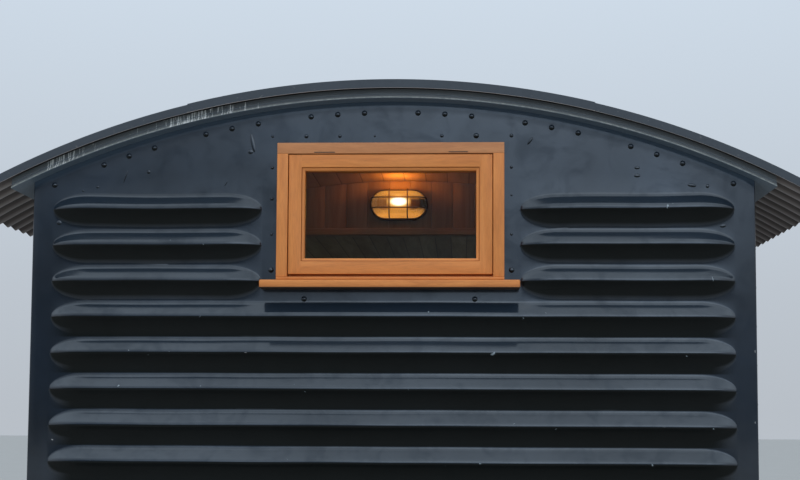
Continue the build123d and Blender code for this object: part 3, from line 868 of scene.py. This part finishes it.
def bargeLength(name, lower, setback, low, high):
    # One folded length of the cap over the sheet ends: an upright face and a top flange.
    thick = roof["bargeThickness"]
    outer = van["sheetInner"] + roof["bargeTop"] - lower
    near = -roof["sheetRun"] - thick + setback
    face = spunBar(name + "Face", oblong(van["sheetInner"] - 0.002, outer, near, near + thick), high)
    flange = oblong(outer - thick, outer, near + thick - 0.0005, -roof["sheetRun"] + roof["bargeCover"])
    cap = joinPieces(name, [face, spunBar(name + "Top", flange, high)])
    if low > 0:
        cutPiece(cap, (low, 0, 0), (-1, 0, 0), use_fill=True, clear_outer=True)
    return roundEdges(cap, 0.0009, 2, 50)


def makeBarges():
    seam = roof["seamHalf"]
    centre = bargeLength("bargeCentre", 0.0, 0.0, 0.0, seam + 0.01)
    right = bargeLength("bargeRight", roof["bargeStep"], roof["bargeSetback"], seam - 0.06, roof["sheetHalf"])
    left = copyPiece("bargeLeft", right, mirrored=True)
    lengths = joinPieces("bargeLengths", [centre, right, left])
    caps = joinPieces("roofBarges", [lengths, copyPiece("bargeRearLengths", lengths, math.pi)])
    finishPiece(caps, roofSheetSteel, ["roof_barges"], 15)


makeShell()
makeSheets()
makeBarges()
print("roof made")


window = {
    "half": 0.382, "low": 2.031, "high": 2.494, "face": 0.037, "foot": 0.016, "footRebate": 0.007,
    "rebate": 0.020, "proud": 0.030, "gap": 0.0025, "groove": 0.0016, "rail": 0.0435, "setback": 0.004,
    "sashDepth": 0.045, "stop": 0.014, "bead": 0.0105, "glassSetback": 0.027, "pane": 0.006,
    "beadSink": 0.004, "beadSlope": 0.005, "grooveSink": 0.012, "grooveWidth": 0.004, "tuck": 0.001,
    "sillHalf": 0.433, "sillThickness": 0.032, "sillProud": 0.062, "sillFall": 0.004,
    "hinges": ((-0.257, -0.187), (0.195, 0.260)), "hingeRise": (0.0028, 0.0056),
}


def windowHole(inset):
    half = window["half"] - window["face"] - inset
    return (-half, window["low"] + window["foot"] + inset), (half, window["high"] - window["face"] - inset)


def ringIn(name, outerInset, innerInset, near, far):
    low, high = windowHole(outerInset)
    return addRing(name, (low[0], near, low[1]), (high[0], far, high[1]), *windowHole(innerInset))


def joinLengths(name, lengths, rounding):
    # Lengths of timber, each with its material and two corners.
    pieces = []
    for material, first, last in lengths:
        piece = roundEdges(addBox(name, first, last), rounding, 3)
        piece.data.materials.append(material)
        pieces.append(piece)
    return joinPieces(name, pieces)


def railFrame(name, low, high, holeLow, holeHigh, near, far, rounding, timbers=(timberHeadShade, timberAcross)):
    # Four lengths of timber round a hole: the head and foot run through and the jambs stand between them.
    lengths = [
        (timbers[0], (low[0], near, holeHigh[1]), (high[0], far, high[1])),
        (timbers[1], (low[0], near, low[1]), (high[0], far, holeLow[1])),
        (timberUpright, (low[0], near, holeLow[1]), (holeLow[0], far, holeHigh[1])),
        (timberUpright, (holeHigh[0], near, holeLow[1]), (high[0], far, holeHigh[1])),
    ]
    return joinLengths(name, lengths, rounding)


def splitGrain(piece, hole):
    # The stiles run through and take upright grain. The rails between them take level grain.
    piece.data.materials.append(timberAcross)
    piece.data.materials.append(timberUpright)
    for face in piece.data.polygons:
        face.material_index = 0 if hole[0][0] <= face.center.x <= hole[1][0] else 1
    return piece


def makeWindowFrame(face, sashBack):
    # The foot is rebated at the front, which leaves a dark groove under the sash.
    half, low, high = window["half"], window["low"], window["high"]
    holeLow, holeHigh = windowHole(0)
    rebatedLow = (holeLow[0], low + window["foot"] - window["footRebate"])
    middle = face + window["rebate"]
    parts = [
        railFrame(name, (-half, low), (half, high), *hole, near, far, rounding)
        for name, hole, near, far, rounding in (
            ("windowFrame", (rebatedLow, holeHigh), face, middle, 0.0015),
            ("windowFrameInner", (holeLow, holeHigh), middle, sashBack, 0.001),
            ("windowStop", windowHole(window["stop"]), sashBack, -van["innerHalfLength"], 0.0015),
        )
    ]
    return joinPieces("windowFrameFront", parts)


def makeSash(sashFace, sashBack):
    light = window["gap"] + window["rail"]
    lightHole, beadHole = windowHole(light), windowHole(light + window["bead"])
    sash = roundEdges(ringIn("windowSash", window["gap"], light, sashFace, sashBack), 0.0018, 3)
    for corner in lightHole:
        cutPiece(sash, (corner[0], 0, 0), (1, 0, 0))
    splitGrain(sash, lightHole)
    tuck = window["tuck"]
    inner, grooveFace = light + window["grooveWidth"], sashFace + window["grooveSink"]
    groove = ringIn("beadGroove", light - tuck, inner, grooveFace, sashBack - tuck)
    splitGrain(groove, lightHole)
    # The glazing bead slopes in towards the glass.
    beadFace = sashFace + window["beadSink"]
    bead = ringIn("glazingBead", light + window["groove"], light + window["bead"], beadFace, sashBack)
    (left, foot), (right, top) = beadHole
    near = 1e-4

    def innerFront(place):
        inHole = left - near < place.x < right + near and foot - near < place.z < top + near
        return inHole and place.y < beadFace + near

    pick(bead, "vertices", innerFront)
    bpy.ops.transform.translate(value=(0, window["beadSlope"], 0))
    leaveEdit()
    splitGrain(roundEdges(bead, 0.0010, 2), beadHole)
    return joinPieces("windowSashFront", [sash, bead, groove]), beadHole


def makeWindow():
    face = -van["halfLength"] - window["proud"]
    sashFace = face + window["setback"]
    sashBack = sashFace + window["sashDepth"]
    frameFront = makeWindowFrame(face, sashBack)
    sashFront, ((left, foot), (right, top)) = makeSash(sashFace, sashBack)
    glassNear = sashFace + window["glassSetback"]
    glassFront = addBox("windowGlassFront", (left, glassNear, foot), (right, glassNear + window["pane"], top))
    glassFront.data.materials.append(windowGlass)
    roundEdges(glassFront, 0.0006, 1)

    half, low, wall = window["sillHalf"], window["low"], -van["halfLength"]
    sillLow = (-half, wall - window["sillProud"], low - window["sillThickness"])
    sillFront = addBox("windowSillFront", sillLow, (half, wall + van["sink"], low))
    sillFront.data.materials.append(timberSill)
    # The top of the sill falls towards its nose.
    pick(sillFront, "vertices", lambda place: place.z > low - 0.001 and place.y < wall - 0.05)
    bpy.ops.transform.translate(value=(0, 0, -window["sillFall"]))
    leaveEdit()
    roundEdges(sillFront, 0.0045, 4)

    # Two dark hinge plates lie in the head, just over the sash.
    plates = []
    bottom, top = [window["high"] - window["face"] + rise for rise in window["hingeRise"]]
    for start, end in window["hinges"]:
        plate = addBox("hingePlate", (start, face - 0.0006, bottom), (end, face + 0.004, top))
        plates.append(roundEdges(plate, 0.0004, 2))
    platesFront = joinPieces("hingePlatesFront", plates)
    platesFront.data.materials.append(framePaint)
    return (
        (frameFront, "window_frame_", "stained_timber"), (sashFront, "window_sash_", "stained_timber"),
        (glassFront, "window_glass_", "window_glass"), (sillFront, "window_sill_", "stained_timber"),
        (platesFront, None, "frame_steel"),
    )


def finishWindows():
    pieces = makeWindow()
    for end, turn in (("front", 0.0), ("rear", math.pi)):
        for piece, base, slotName in pieces:
            used = copyPiece(piece.name.replace("Front", "Rear"), piece, turn) if turn else piece
            finishPiece(used, None, [base + end] if base else ())


finishWindows()
print("windows made")


door = {
    "half": 0.750, "foot": 0.400, "head": 2.250, "face": 0.045, "proud": 0.012,
    "leafFace": 1.212, "leafBack": 1.167, "stop": 0.014, "gap": 0.004, "stile": 0.095, "footRail": 0.180,
    "panel": 0.560, "recess": 0.012, "boards": 6, "bead": 0.012, "coverHalf": 0.017, "coverProud": 0.008,
    "panelBead": 0.004, "glassBead": (0.005, 0.014), "tuck": 0.001,
}
levelTimber = (timberAlong, timberAlong)


def shrunk(low, high, amount):
    return [place + amount for place in low], [place - amount for place in high]


def makeLeaf(low, high):
    # One leaf as seen from outside, to the right of the meeting edge.
    near, far = door["gap"] / 2, door["half"] - door["face"] - door["gap"]
    front, back = -door["leafFace"], -door["leafBack"]
    inside, outside = near + door["stile"], far - door["stile"]
    panelLow = low + door["footRail"]
    panelHigh = panelLow + door["panel"]
    glassLow, glassHigh = panelHigh + door["stile"], high - door["stile"]
    lengths = [(timberUpright, (near, front, low), (inside, back, high))]
    lengths += [(timberUpright, (outside, front, low), (far, back, high))]
    for foot, top in ((low, panelLow), (panelHigh, glassLow), (glassHigh, high)):
        lengths.append((timberAlong, (inside, front, foot), (outside, back, top)))
    leaf = joinLengths("doorLeaf", lengths, 0.0018)
    recess, width = door["recess"], (outside - inside) / door["boards"]
    panel = [
        (
            timberUpright, (inside + width * number, front + recess, panelLow),
            (inside + width * (number + 1), back - recess, panelHigh),
        )
        for number in range(door["boards"])
    ]
    pieces = [leaf, joinLengths("doorPanel", panel, 0.003)]
    sunk, (shallow, deep), tuck = door["panelBead"], door["glassBead"], door["tuck"]
    for foot, top, start, end in (
        (panelLow, panelHigh, front + sunk, front + recess + tuck),
        (glassLow, glassHigh, front + shallow, front + deep),
        (glassLow, glassHigh, back - deep, back - shallow),
        (panelLow, panelHigh, back - recess - tuck, back - sunk),
    ):
        corners = (inside, foot), (outside, top)
        hole = shrunk(*corners, door["bead"])
        pieces.append(railFrame("doorBead", *corners, *hole, start, end, 0.0015, levelTimber))
    return joinPieces("doorLeaf", pieces)


def makeDoors():
    edge = door["face"] + door["gap"]
    low, high = door["foot"] + edge, door["head"] - edge
    leaf = makeLeaf(low, high)
    other = copyPiece("doorOtherLeaf", leaf, mirrored=True)
    half, face, back, proud = door["coverHalf"], -door["leafFace"], -door["leafBack"], door["coverProud"]
    cover = [
        (timberUpright, (-half, face - proud, low), (half, face + van["sink"], high)),
        (timberUpright, (-half, back - van["sink"], low), (half, back + proud, high)),
    ]
    leaves = joinPieces("doorLeaves", [leaf, other, joinLengths("meetingCover", cover, 0.003)])
    corners = (-door["half"], door["foot"]), (door["half"], door["head"])
    parts = [
        railFrame(name, *corners, *shrunk(*corners, inset), near, far, rounding, levelTimber)
        for name, inset, near, far, rounding in (
            ("doorFrame", door["face"], -van["halfWidth"] - door["proud"], back, 0.002),
            ("doorStop", door["face"] + door["stop"], back, -van["innerHalfWidth"], 0.0015),
        )
    ]
    surround = joinPieces("doorFrame", parts)
    for side, turn in (("left", -quarter), ("right", quarter)):
        for piece, base in ((leaves, "door_leaves_"), (surround, "door_frame_")):
            finishPiece(copyPiece(piece.name + side.title(), piece, turn), None, [base + side])
    bpy.data.objects.remove(leaves)
    bpy.data.objects.remove(surround)


makeDoors()
print("doors made")


rivet = {
    "radius": 0.0100, "height": 0.0065, "archStep": 0.0910, "archDrop": 0.038,
    "archNumbers": (1, 2, 3, 5, 6, 7, 9, 10, 11, 13),
    # Place across and up, and size. Round the old ventilator many are nearly lost under paint.
    "byWindow": [
        (-0.403, 2.415, 0.6), (-0.403, 2.308, 0.6), (-0.403, 2.187, 0.5), (-0.403, 2.066, 1.0),
        (0.407, 2.415, 0.55), (0.407, 2.320, 0.4), (0.407, 2.187, 0.5), (0.407, 2.066, 1.0),
        (-0.403, 2.523, 0.55), (-0.288, 2.523, 0.75), (-0.174, 2.523, 0.65), (-0.055, 2.523, 0.4),
        (0.172, 2.523, 0.65), (0.288, 2.523, 1.0), (0.407, 2.523, 0.7), (-0.290, 1.968, 1.0), (0.284, 1.968, 1.0),
    ],
    # Rows: the first place, the step and the number of rivets.
    "headstock": (-1.12, 0.28, 9), "solebar": (-2.40, 0.30, 17), "frameHeights": (0.175, 0.315),
    "sideUpright": (0.45, 0.13, 15), "sideUprights": (0.775, 2.640),
    "sideLevel": (0.83, 0.1035, 18), "sideLevels": (2.348, 0.385),
    "screwEvery": 3, "screwSize": 0.62, "screwLines": (-1.18, -0.60, 0.0, 0.60, 1.18),
}

mark = {
    # Old weld beads and drips under the paint: place, width, height and turn in degrees.
    "welds": [
        (-0.471, 2.500, 0.016, 0.050, -12), (-0.478, 2.470, 0.022, 0.012, 0), (0.470, 2.505, 0.010, 0.022, 35),
        (0.828, 2.412, 0.022, 0.008, 0), (0.828, 2.385, 0.024, 0.009, 0), (1.010, 2.352, 0.034, 0.009, 8),
        (1.062, 2.349, 0.014, 0.010, 0), (-0.905, 2.386, 0.005, 0.032, 18), (-0.560, 2.362, 0.004, 0.016, 28),
        (-0.826, 2.402, 0.014, 0.010, 0), (-1.130, 2.228, 0.020, 0.012, 0), (1.112, 2.215, 0.024, 0.009, -10),
        (-1.000, 2.350, 0.012, 0.007, 0), (-1.050, 2.338, 0.010, 0.005, 20),
    ],
    # Nicks on the crests: place across, rib, height above its crest, width and height.
    "nicks": [
        (-0.977, 3, 0.001, 0.014, 0.008), (-0.599, 3, 0.004, 0.020, 0.014), (-0.980, 4, 0.016, 0.016, 0.006),
        (-0.848, 4, 0.018, 0.030, 0.006), (-0.966, 5, 0.014, 0.012, 0.008), (-0.592, 7, 0.002, 0.016, 0.008),
        (-0.985, 7, 0.004, 0.016, 0.006), (-0.410, 4, 0.000, 0.030, 0.005), (0.905, 6, 0.001, 0.018, 0.007),
    ],
    # Chips through the paint, on the crests like the nicks and on the flat like the welds.
    "chips": [
        (-0.602, 3, 0.002, 0.010, 0.010), (-0.5587, 4, 0.001, 0.012, 0.004), (-0.536, 4, 0.001, 0.008, 0.003),
        (-0.525, 4, 0.001, 0.006, 0.004), (-0.480, 4, 0.000, 0.018, 0.003), (-0.960, 5, 0.003, 0.006, 0.008),
        (-0.412, 5, 0.018, 0.008, 0.003), (-0.392, 5, 0.018, 0.006, 0.003), (-0.588, 7, 0.003, 0.007, 0.009),
        (0.310, 6, 0.002, 0.008, 0.003), (0.742, 4, 0.001, 0.006, 0.003), (-0.955, 7, 0.006, 0.012, 0.004),
    ],
    "flatChips": [(-1.135, 1.492, 0.014, 0.004, 25), (1.212, 1.795, 0.004, 0.012, 0), (1.209, 1.560, 0.004, 0.008, 0)],
}


def makeRivetHead():
    # A domed head that faces -Y.
    clearSelection()
    bpy.ops.mesh.primitive_uv_sphere_add(segments=10, ring_count=6, radius=1, location=(0, 0, 0))
    head = bpy.context.object
    head.name = "rivetHead"
    cutPiece(head, (0, 0, 0.02), (0, 0, 1), use_fill=True, clear_inner=True)
    size = Matrix.Diagonal((rivet["radius"], rivet["radius"], rivet["height"], 1))
    head.data.transform(Matrix.Rotation(quarter, 4, "X") @ size)
    return head


def headsAt(name, head, wall, places):
    # A copy of the head at each place across and up, with its size, sunk a little in the wall.
    heads = []
    for across, height, size in places:
        place = Matrix.Translation((across, van["sink"] - wall, height)) @ Matrix.Scale(size, 4)
        heads.append(copyPiece("rivet", head, place=place))
    return joinPieces(name, heads)


def onBothSides(name, piece):
    pair = [copyPiece(name + side, piece, turn) for side, turn in (("Left", -quarter), ("Right", quarter))]
    bpy.data.objects.remove(piece)
    return pair


def raisedMarks(name, head, onWall, onCrests, out, material):
    # Flattened heads on the wall, and others that stand out with the slope of a rib.
    marks = [(*place, out) for place in onWall]
    for across, number, above, wide, tall in onCrests:
        height = rib["topCrest"] - rib["pitch"] * number + above
        marks.append((across, height, wide, tall / 1.6, 0, rib["depth"] * (1 - above / rib["rise"]) - 0.001))
    beads = []
    for across, height, wide, tall, turn, out in marks:
        place = (
            Matrix.Translation((across, -van["halfLength"] + 0.0012 - out, height))
            @ Matrix.Rotation(math.radians(turn), 4, "Y")
            @ Matrix.Diagonal((wide / 2 / rivet["radius"], 0.42, tall * 0.8 / rivet["radius"], 1))
        )
        beads.append(copyPiece(name, head, place=place))
    finishPiece(joinPieces(name, beads), material, smooth=80)


def makeRoofScrews(head):
    # Screw heads on every third crest over each batten.
    screws = []
    count = round(2 * roof["sheetRun"] / roof["pitch"])
    for across in rivet["screwLines"]:
        layers = 2 if abs(across) < roof["seamHalf"] else 1
        radius = van["sheetInner"] + layers * (roof["sheetThickness"] + roof["play"]) + roof["depth"]
        arch = Matrix.Translation((0, 0, van["archCentre"])) @ Matrix.Rotation(math.asin(across / radius), 4, "Y")
        upright = Matrix.Rotation(-quarter, 4, "X") @ Matrix.Scale(rivet["screwSize"], 4)
        for number in range(1, count, rivet["screwEvery"]):
            along = roof["sheetRun"] * (2 * (number + 0.5) / count - 1)
            place = arch @ Matrix.Translation((0, along, radius - 0.0004)) @ upright
            screws.append(copyPiece("roofScrew", head, place=place))
    finishPiece(joinPieces("roofScrews", screws), roofSheetSteel, smooth=60)


def inRow(name):
    start, step, count = rivet[name]
    return [start + step * number for number in range(count)]


def makeFrameRivets(head):
    # Rows of rivets along the headstocks and solebars.
    heights = rivet["frameHeights"]
    places = [(across, height, 1.0) for across in inRow("headstock") for height in heights]
    front = headsAt("headstockRivetsFront", head, van["halfLength"], places)
    rear = copyPiece("headstockRivetsRear", front, math.pi)
    places = [(along, height, 1.0) for along in inRow("solebar") for height in heights]
    sides = onBothSides("solebarRivets", headsAt("solebarRivets", head, van["halfWidth"], places))
    for piece in (front, rear, *sides):
        finishPiece(piece, framePaint, smooth=60)


def makeWallRivets(head):
    radius = van["archRadius"] - rivet["archDrop"]
    places = []
    for number in rivet["archNumbers"]:
        for side in (-1, 1):
            angle = side * number * rivet["archStep"] / radius
            places.append((radius * math.sin(angle), van["archCentre"] + radius * math.cos(angle), 1.0))
    front = headsAt("endRivetsFront", head, van["halfLength"], places + rivet["byWindow"])
    rear = copyPiece("endRivetsRear", front, math.pi)
    places = [(along, height, 1.0) for along in rivet["sideUprights"] for height in inRow("sideUpright")]
    places += [(along, height, 1.0) for along in inRow("sideLevel") for height in rivet["sideLevels"]]
    half = headsAt("sideHalfRivets", head, van["halfWidth"], places)
    both = joinPieces("sideRivets", [half, copyPiece("sideOtherRivets", half, mirrored=True)])
    for piece in (front, rear, *onBothSides("sideRivets", both)):
        finishPiece(piece, bodyPaint, smooth=60)


def makeRivets():
    head = makeRivetHead()
    makeRoofScrews(head)
    makeFrameRivets(head)
    makeWallRivets(head)
    raisedMarks("weldBeads", head, mark["welds"], mark["nicks"], 0.0, bodyPaint)
    raisedMarks("paintChips", head, mark["flatChips"], mark["chips"], -0.001, chippedSteel)
    bpy.data.objects.remove(head)


makeRivets()
print("rivets made")


lamp = {
    "centre": (-0.025, -1.667, 2.462), "length": 0.248, "width": 0.132, "base": 0.024, "rim": 0.009,
    "glass": 0.052, "bar": 0.0052, "spread": 0.076, "levels": 0.043, "rise": 0.014,
    "hoopBend": 0.026, "railBend": 0.034,
    "baseLayers": ((0.004, 0.0), (0.0, 0.004), (0.0, 0.016), (0.004, 0.022), (0.012, 0.024)),
    "glassLayers": ((0.009, 0.024), (0.009, 0.042), (0.013, 0.058), (0.021, 0.070), (0.033, 0.076)),
}


def ovalPoints(length, width, count=10):
    # A flat oval: straight sides and round ends, in X and Z.
    radius = width / 2
    straight = length / 2 - radius
    points = []
    for side, start in ((1, -quarter), (-1, quarter)):
        for step in fractions(count):
            angle = start + math.pi * step
            points.append((side * straight + radius * math.cos(angle), radius * math.sin(angle)))
    return points


def ovalStack(name, layers):
    # Rings of one oval, each with its shrink and depth, extruded one from the other and closed at both ends.
    # All edges are selected with the cap, so each ring also adds flat faces and inner walls to those before.
    x, y, z = lamp["centre"]
    rings = []
    for shrink, depth in layers:
        outline = ovalPoints(lamp["length"] - 2 * shrink, lamp["width"] - 2 * shrink)
        rings.append([(x + across, y - depth, z + up) for across, up in outline])
    clearSelection()
    bpy.ops.mesh.primitive_circle_add(vertices=len(rings[0]), radius=1, fill_type="NGON")
    stack = bpy.context.object
    stack.name = name
    mesh = stack.data
    start = 0
    for ring in rings:
        if start:
            pick(stack)
            leaveEdit()
            cap = max(mesh.polygons, key=lambda face: len(face.vertices) * 1000 - face.center.y).index
            for face in mesh.polygons:
                face.select = face.index == cap
            for vertex in mesh.vertices:
                vertex.select = False
            bpy.ops.object.mode_set(mode="EDIT")
            bpy.ops.mesh.extrude_region()
            leaveEdit()
        for vertex, place in zip(mesh.vertices[start:], ring):
            vertex.co = place
        mesh.update()
        start = len(mesh.vertices)
    pick(stack)
    bpy.ops.mesh.normals_make_consistent(inside=False)
    leaveEdit()
    return stack


def barPath(name, points, closed=False):
    # A round bar along points, made from a bevelled curve turned to a mesh.
    curve = bpy.data.curves.new(name, "CURVE")
    curve.dimensions = "3D"
    curve.bevel_depth = lamp["bar"] / 2
    curve.bevel_resolution = 3
    curve.use_fill_caps = True
    line = curve.splines.new("POLY")
    line.points.add(len(points) - 1)
    for point, place in zip(line.points, points):
        point.co = (*place, 1)
    line.use_cyclic_u = closed
    bar = bpy.data.objects.new(name, curve)
    bpy.context.collection.objects.link(bar)
    makeActive(bar)
    bpy.ops.object.convert(target="MESH")
    return bpy.context.object


def bentBar(name, start, end, depth, corner):
    # Out from the ring, round a bend, over the glass and back.
    start, end = Vector(start), Vector(end)
    step = (end - start).normalized()
    turns = [quarter * part for part in fractions(6)]
    profile = [(0.0, 0.0)] + [(corner * (1 - math.cos(turn)), corner * (1 - math.sin(turn)) - depth) for turn in turns]
    points = [start + step * along + Vector((0, out, 0)) for along, out in profile]
    points += [end - step * along + Vector((0, out, 0)) for along, out in reversed(profile)]
    return barPath(name, points)


def makeLamp():
    finishPiece(ovalStack("lampBase", lamp["baseLayers"]), lampMetal, ["lamp_base"])
    finishPiece(ovalStack("lampGlass", lamp["glassLayers"]), lampGlassLit, ["lamp_glass"])
    x, y, z = lamp["centre"]
    foot, radius = y - lamp["base"], lamp["bar"] / 2
    outline = ovalPoints(lamp["length"] - lamp["rim"], lamp["width"] - lamp["rim"], 16)
    bars = [barPath("guardRing", [(x + across, foot - radius, z + up) for across, up in outline], True)]
    reachX, reachZ = [(lamp[size] - lamp["rim"]) / 2 for size in ("length", "width")]
    end = reachX - reachZ + math.sqrt(reachZ ** 2 - (lamp["levels"] / 2) ** 2)
    depth = lamp["glass"] + lamp["rise"] - radius
    for side in (-1, 1):
        across, level = x + side * lamp["spread"] / 2, z + side * lamp["levels"] / 2
        hoop = (across, foot, z - reachZ), (across, foot, z + reachZ)
        rail = (x - end, foot, level), (x + end, foot, level)
        bars.append(bentBar("guardHoop", *hoop, depth, lamp["hoopBend"]))
        bars.append(bentBar("guardRail", *rail, depth, lamp["railBend"]))
    finishPiece(joinPieces("lampGuard", bars), lampMetal, ["lamp_guard"], 50)


makeLamp()
print("lamp made")


boards = {
    "width": 0.0906, "start": 0.0215, "gap": 0.0010, "round": 0.0028, "least": 0.03,
    "near": -1.667, "thickness": 0.040, "openingHalf": 0.800, "openingTop": 2.334,
}


def boardRun(name, low, high, foot):
    # Upright boards side by side, their tops cut to the ceiling.
    made = []
    joints = [boards["start"] + boards["width"] * number for number in range(-14, 15)]
    joints = [joint for joint in joints if low + boards["least"] < joint < high - boards["least"]]
    for first, last in zip([low] + joints, joints + [high]):
        near = (first + boards["gap"] / 2, boards["near"], foot)
        board = addBox("board", near, (last - boards["gap"] / 2, boards["near"] + boards["thickness"], foot + 1))
        for vertex in board.data.vertices:
            if vertex.co.z > foot + 0.5:
                vertex.co.z = archHeight(vertex.co.x, van["ceilingInner"]) - van["sink"]
        made.append(board)
    return roundEdges(joinPieces(name, made), boards["round"], 2, 60)


def makePartition():
    half, opening, floor = van["innerHalfWidth"], boards["openingHalf"], van["floorTop"]
    parts = [
        boardRun("partitionMiddle", -opening, opening, boards["openingTop"]),
        boardRun("partitionLeft", -half, -opening, floor),
        boardRun("partitionRight", opening, half, floor),
    ]
    finishPiece(joinPieces("partitionBoards", parts), boardUpright, ["partition"])


makePartition()
print("boards made")


def dress(material, *nodes):
    for name in nodes:
        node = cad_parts[name]
        node.data.materials.clear()
        node.data.materials.append(material)


dress(sleeperTimber, "sleepers")
dress(framePaint, "solebars", "headstocks", "crossbearers", "body_posts", "cantrails")
dress(bodyPaint, "door_headers")
dress(boardLevel, "floor_deck", "ceiling_lining")
dress(boardWall, "side_lining_left", "side_lining_right")
dress(boardEnd, "end_lining_front", "end_lining_rear")
dress(boardAlong, "roof_battens")
dress(boardAcross, "partition_rail", "roof_hoops")
dress(windowGlass, "door_glass_left", "door_glass_right")


def makeFloor():
    clearSelection()
    bpy.ops.mesh.primitive_plane_add(size=120, location=(0, 0, 0))
    floor = bpy.context.object
    floor.name = "studioFloor"
    material, tree, shader, place = newMaterial("studioFloor")
    colour = blend(tree, noiseOf(tree, place, 1.5, 3.0), (0.410, 0.388, 0.362), (0.445, 0.422, 0.395))
    fill(tree, shader, {"Base Color": colour, "Roughness": 0.95, "Specular IOR Level": 0.1})
    floor.data.materials.append(material)


sky = {
    "around": [(0.0, (0.48, 0.52, 0.57)), (0.10, (0.51, 0.56, 0.62)), (0.35, (0.62, 0.71, 0.81))],
    "ahead": [
        (0.0, (0.10, 0.11, 0.12)), (0.08, (0.17, 0.19, 0.21)), (0.16, (0.74, 0.94, 1.20)),
        (0.25, (1.06, 1.34, 1.70)), (0.36, (1.66, 1.98, 2.32)), (0.55, (1.30, 1.55, 1.82)),
    ],
    "overhead": [(0.75, (0.97, 1.15, 1.33)), (1.0, (0.80, 0.93, 1.06))],
    "dimLeft": (-0.32, 0.0, 0.30, 1.0), "turn": (-0.60, -0.88),
}


def makeWorld():
    # An overcast dome. Just ahead, behind the photographer, the horizon is dim, most of all on the left.
    world = bpy.data.worlds.new("softDome")
    bpy.context.scene.world = world
    world.use_nodes = True
    tree = world.node_tree
    tree.nodes.clear()
    parts = splitVector(tree, addNode(tree, "ShaderNodeTexCoord", {}).outputs["Generated"])
    around, ahead = [ramp(tree, parts["Z"], sky[part] + sky["overhead"]) for part in ("around", "ahead")]
    ahead = shadeBy(tree, ahead, span(tree, parts["X"], *sky["dimLeft"]))
    colour = blend(tree, span(tree, parts["Y"], *sky["turn"]), around, ahead)
    background = addNode(tree, "ShaderNodeBackground", {"Color": colour, "Strength": 1.0})
    addNode(tree, "ShaderNodeOutputWorld", {"Surface": background.outputs[0]})


light = {
    "soft": {"place": (-3.0, -10.0, 9.0), "aim": (0, 0, 1.6), "energy": 275, "colour": (1.0, 0.97, 0.99), "size": 9.0},
    "glow": {"forward": 0.112, "up": 0.040, "energy": 1.12, "colour": (1.0, 0.30, 0.055), "size": 0.02},
}


def addLight(name, kind, place, values):
    data = bpy.data.lights.new(name, kind)
    data.energy = values["energy"]
    data.color = values["colour"]
    made = bpy.data.objects.new(name, data)
    made.location = place
    made.visible_glossy = False
    bpy.context.collection.objects.link(made)
    return made


def makeLights():
    values = light["soft"]
    soft = addLight("softFront", "AREA", values["place"], values)
    soft.data.shape = "DISK"
    soft.data.size = values["size"]
    soft.rotation_euler = (Vector(values["aim"]) - soft.location).to_track_quat("-Z", "Y").to_euler()
    # The lamp's own light falls on the boards and the ceiling above it.
    values = light["glow"]
    x, y, z = lamp["centre"]
    glow = addLight("lampGlow", "POINT", (x, y - values["forward"], z + values["up"]), values)
    glow.data.shadow_soft_size = values["size"]
    glow.visible_camera = False
    glow.visible_transmission = False


shot = {
    "place": (0.23766, -6.52693, 1.59798), "yaw": 1.915, "pitch": 3.720, "roll": 0.247,
    "focal": 1156.16, "middle": (422.27, 334.50), "frame": (800, 480), "sensor": 36,
}


def makeCamera():
    wide, tall = shot["frame"]
    data = bpy.data.cameras.new("photoView")
    data.sensor_width = shot["sensor"]
    data.lens = shot["focal"] * shot["sensor"] / wide
    data.shift_x = (wide / 2 - shot["middle"][0]) / wide
    data.shift_y = (shot["middle"][1] - tall / 2) / wide
    camera = bpy.data.objects.new("photoView", data)
    bpy.context.collection.objects.link(camera)
    place = Matrix.Translation(shot["place"])
    for angle, axis in ((shot["yaw"], "Z"), (90 + shot["pitch"], "X"), (shot["roll"], "Z")):
        place = place @ Matrix.Rotation(math.radians(angle), 4, axis)
    camera.matrix_world = place
    bpy.context.scene.camera = camera


makeFloor()
makeWorld()
makeLights()
makeCamera()
bpy.context.scene.view_settings.view_transform = "Standard"
print("stage made")

clearSelection()
